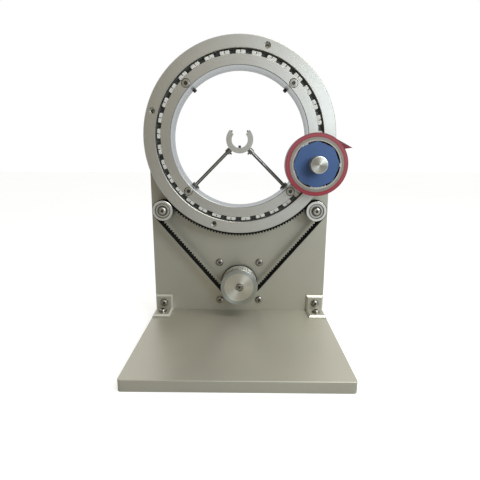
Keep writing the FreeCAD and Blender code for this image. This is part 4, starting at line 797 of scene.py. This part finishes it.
def make_screws(steel, bright, shade):
    """Button head screws and socket head screws, each modelled once and set down in its holes."""
    facing_up = -math.pi / 2
    bracket = socket_screw("bracket_button_screws", steel, shade,
                           head=5.4, height=3.6, key=2.3, shank=3.0, length=17.7, edge=2.4)
    upper = [((x, UPPER_SCREW_DEPTH, UPPER_SCREW_HEIGHT), 0) for x in BRACKET_MIDDLES]
    foot = [((x, FOOT_SCREW_DEPTH, FOOT_SCREW_HEIGHT), facing_up) for x in BRACKET_MIDDLES]
    repeated(bracket, upper + foot)
    hand_over(bracket, "machine", "bright_steel", "bracket_screws")

    motor = socket_screw("motor_button_screws", steel, shade,
                         head=6.6, height=3.6, key=2.6, shank=3.0, length=30.0, edge=2.6)
    repeated(motor, [((x, 0, z), 0) for x in MOTOR_SCREW_SIDES for z in MOTOR_SCREW_HEIGHTS])
    hand_over(motor, "machine", "bright_steel", "motor_screws")

    ring = socket_screw("ring_socket_screws", bright, shade,
                        head=6.5, height=8.0, key=3.2, shank=4.0, length=31.4, edge=0.9)
    centre_x, _, centre_z = RING_AXIS
    repeated(ring, [((centre_x + x * RING_SCREW_REACH, RING_SCREW_DEPTH,
                      centre_z + z * RING_SCREW_REACH), 0) for x in (-1, 1) for z in (-1, 1)])
    hand_over(ring, "machine", "bright_steel", "inner_ring_screws")

    idler = socket_screw("idler_cap_screws", bright, shade,
                         head=6.1, height=4.0, key=2.6, shank=2.5, length=10.0, edge=2.0)
    repeated(idler, [((x, IDLER_SCREW_DEPTH, z), 0) for x, _, z in IDLER_AXES.values()])
    hand_over(idler, "machine", "bright_steel", "idler_screws")

    pulley = socket_screw("pulley_cap_screw", steel, shade,
                          head=5.0, height=5.0, key=2.7, shank=3.0, length=15.0, edge=0.7)
    settle(pulley, (PULLEY_AXIS[0], PULLEY_SCREW_DEPTH, PULLEY_AXIS[2]))
    hand_over(pulley, "pulley", "bright_steel", "pulley_screw")


def make_knob(finish):
    """Turned knob: a broken front edge, fine straight flutes, and a hollow for the brake spring."""
    front, back, radius, flutes = -78.5 * MM, -58.0 * MM, 12.6 * MM, 96
    spring_room, spring_depth = 8.1 * MM, 9.0 * MM
    thread_room, thread_depth = 4.3 * MM, 7.5 * MM
    broken_edge, flute_margin, flute_depth = 1.1 * MM, 0.12 * MM, 0.4 * MM
    knob = turned_block("fluted_knob", radius, front, back, flutes)
    knob.data.materials.append(finish)
    open_mesh(knob)
    pick_end(knob, -1)
    bpy.ops.mesh.bevel(offset=broken_edge, segments=3, affect="EDGES")
    pick_end(knob, 1)
    bpy.ops.mesh.inset(thickness=radius - spring_room)
    push(-spring_depth)
    bpy.ops.mesh.inset(thickness=spring_room - thread_room)
    push(-thread_depth)

    def every_other_side(middle, normal):
        step = math.floor(math.atan2(middle.z, middle.x) / (2 * math.pi / flutes))
        outside = math.hypot(middle.x, middle.z) > 0.95 * radius
        return outside and abs(normal.y) < 0.1 and step % 2

    pick(knob, every_other_side)
    bpy.ops.mesh.inset(thickness=flute_margin, use_individual=True)
    bpy.ops.transform.shrink_fatten(value=-flute_depth)
    close_mesh()
    settle(knob, SPOOL_AXIS)
    hand_over(knob, "knob", "turned_aluminium", "tension_knob")


def make_tape_end(finish):
    """The tape's free end, folded to a flat point that leaves the roll along its tangent."""
    length, half_width, thinness, lean = 30.3 * MM, 9.73 * MM, 0.15, 100.3
    cut_radius, cut_front, painted_groove_shade = TAPE_RADII[1] + 0.1 * MM, -70 * MM, -30 * MM
    clear_selection()
    bpy.ops.mesh.primitive_cone_add(vertices=6, radius1=half_width, radius2=0, depth=length,
                                    rotation=(0, 0, math.radians(30)))
    end = bpy.context.object
    end.name = "folded_tape_end"
    end.data.materials.append(finish)
    keep_place()
    end.scale.y = thinness
    end.location.z = -length / 2
    keep_place()
    end.rotation_euler.y = math.radians(lean)
    end.location = TAPE_TIP
    keep_place()
    roll = turned_block("roll", cut_radius, cut_front, painted_groove_shade, 192)
    roll.data.materials.append(finish)
    settle(roll, SPOOL_AXIS)
    cut_away(end, roll)
    make_active(end)
    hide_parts("tape_tab")
    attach(end, "spool")


def make_torn_edge(finish):
    """Frayed inner edge of the cardboard core, where it has torn over the hub."""
    inner, outer, front = 34.0 * MM, 36.6 * MM, -57.7 * MM
    raggedness, thickness = 1.1 * MM, 0.5 * MM
    torn_arcs = ((-106, -64), (-5, 4))
    clear_selection()
    bpy.ops.mesh.primitive_circle_add(vertices=180, radius=inner, rotation=(math.pi / 2, 0, 0))
    torn = bpy.context.object
    torn.name = "torn_core_edge"
    torn.data.materials.append(finish)
    keep_place()
    open_mesh(torn, "EDGE")
    bpy.ops.mesh.select_all(action="SELECT")
    bpy.ops.transform.vertex_random(offset=raggedness, seed=11)
    bpy.ops.mesh.extrude_region_move(TRANSFORM_OT_translate={"value": (0, 0, 0)})
    ratio = outer / inner
    bpy.ops.transform.resize(value=(ratio, 0, ratio), center_override=(0, 0, 0))
    bpy.ops.mesh.select_mode(type="FACE")

    def whole(middle, _):
        angle = math.degrees(math.atan2(middle.z, middle.x))
        return not any(start < angle < end for start, end in torn_arcs)

    pick(torn, whole)
    bpy.ops.mesh.delete(type="FACE")
    close_mesh()
    thicken = torn.modifiers.new("thicken", "SOLIDIFY")
    thicken.thickness = thickness
    thicken.offset = 0
    bpy.ops.object.modifier_apply(modifier=thicken.name)
    open_mesh(torn)
    bpy.ops.mesh.select_all(action="SELECT")
    bpy.ops.mesh.normals_make_consistent(inside=False)
    close_mesh()
    settle(torn, (SPOOL_AXIS[0], front, SPOOL_AXIS[2]))
    hand_over(torn, "spool", "core_board")


# ---------------------------------------------------------------- making

bpy.context.scene.view_settings.view_transform = "Standard"
set_camera()
lay_floor()
light_room()
hang_lamp("window_right", place=(0.92, -1.27, 0.75), target=(0.05, 0, 0.25),
          size=(0.6, 0.7), watts=11.5, colour=(0.82, 0.92, 1.0))
hang_lamp("overhead", place=(0.55, -0.22, 1.15), target=(0.05, -0.05, 0.05),
          size=(0.8, 0.8), watts=11, colour=(1.0, 0.965, 0.89))
coat_machine()

socket_shade = plated_steel("socket_shade", (0.10, 0.095, 0.085), (0.3, 0.45)).material
make_screws(plated_steel("screw_steel").material,
            plated_steel("cap_screw_steel", (0.52, 0.50, 0.45), (0.24, 0.34)).material,
            socket_shade)
make_knob(knob_metal())
make_tape_end(folded_tape())
make_torn_edge(wound_board("torn_board", (0.42, 0.41, 0.38)).material)
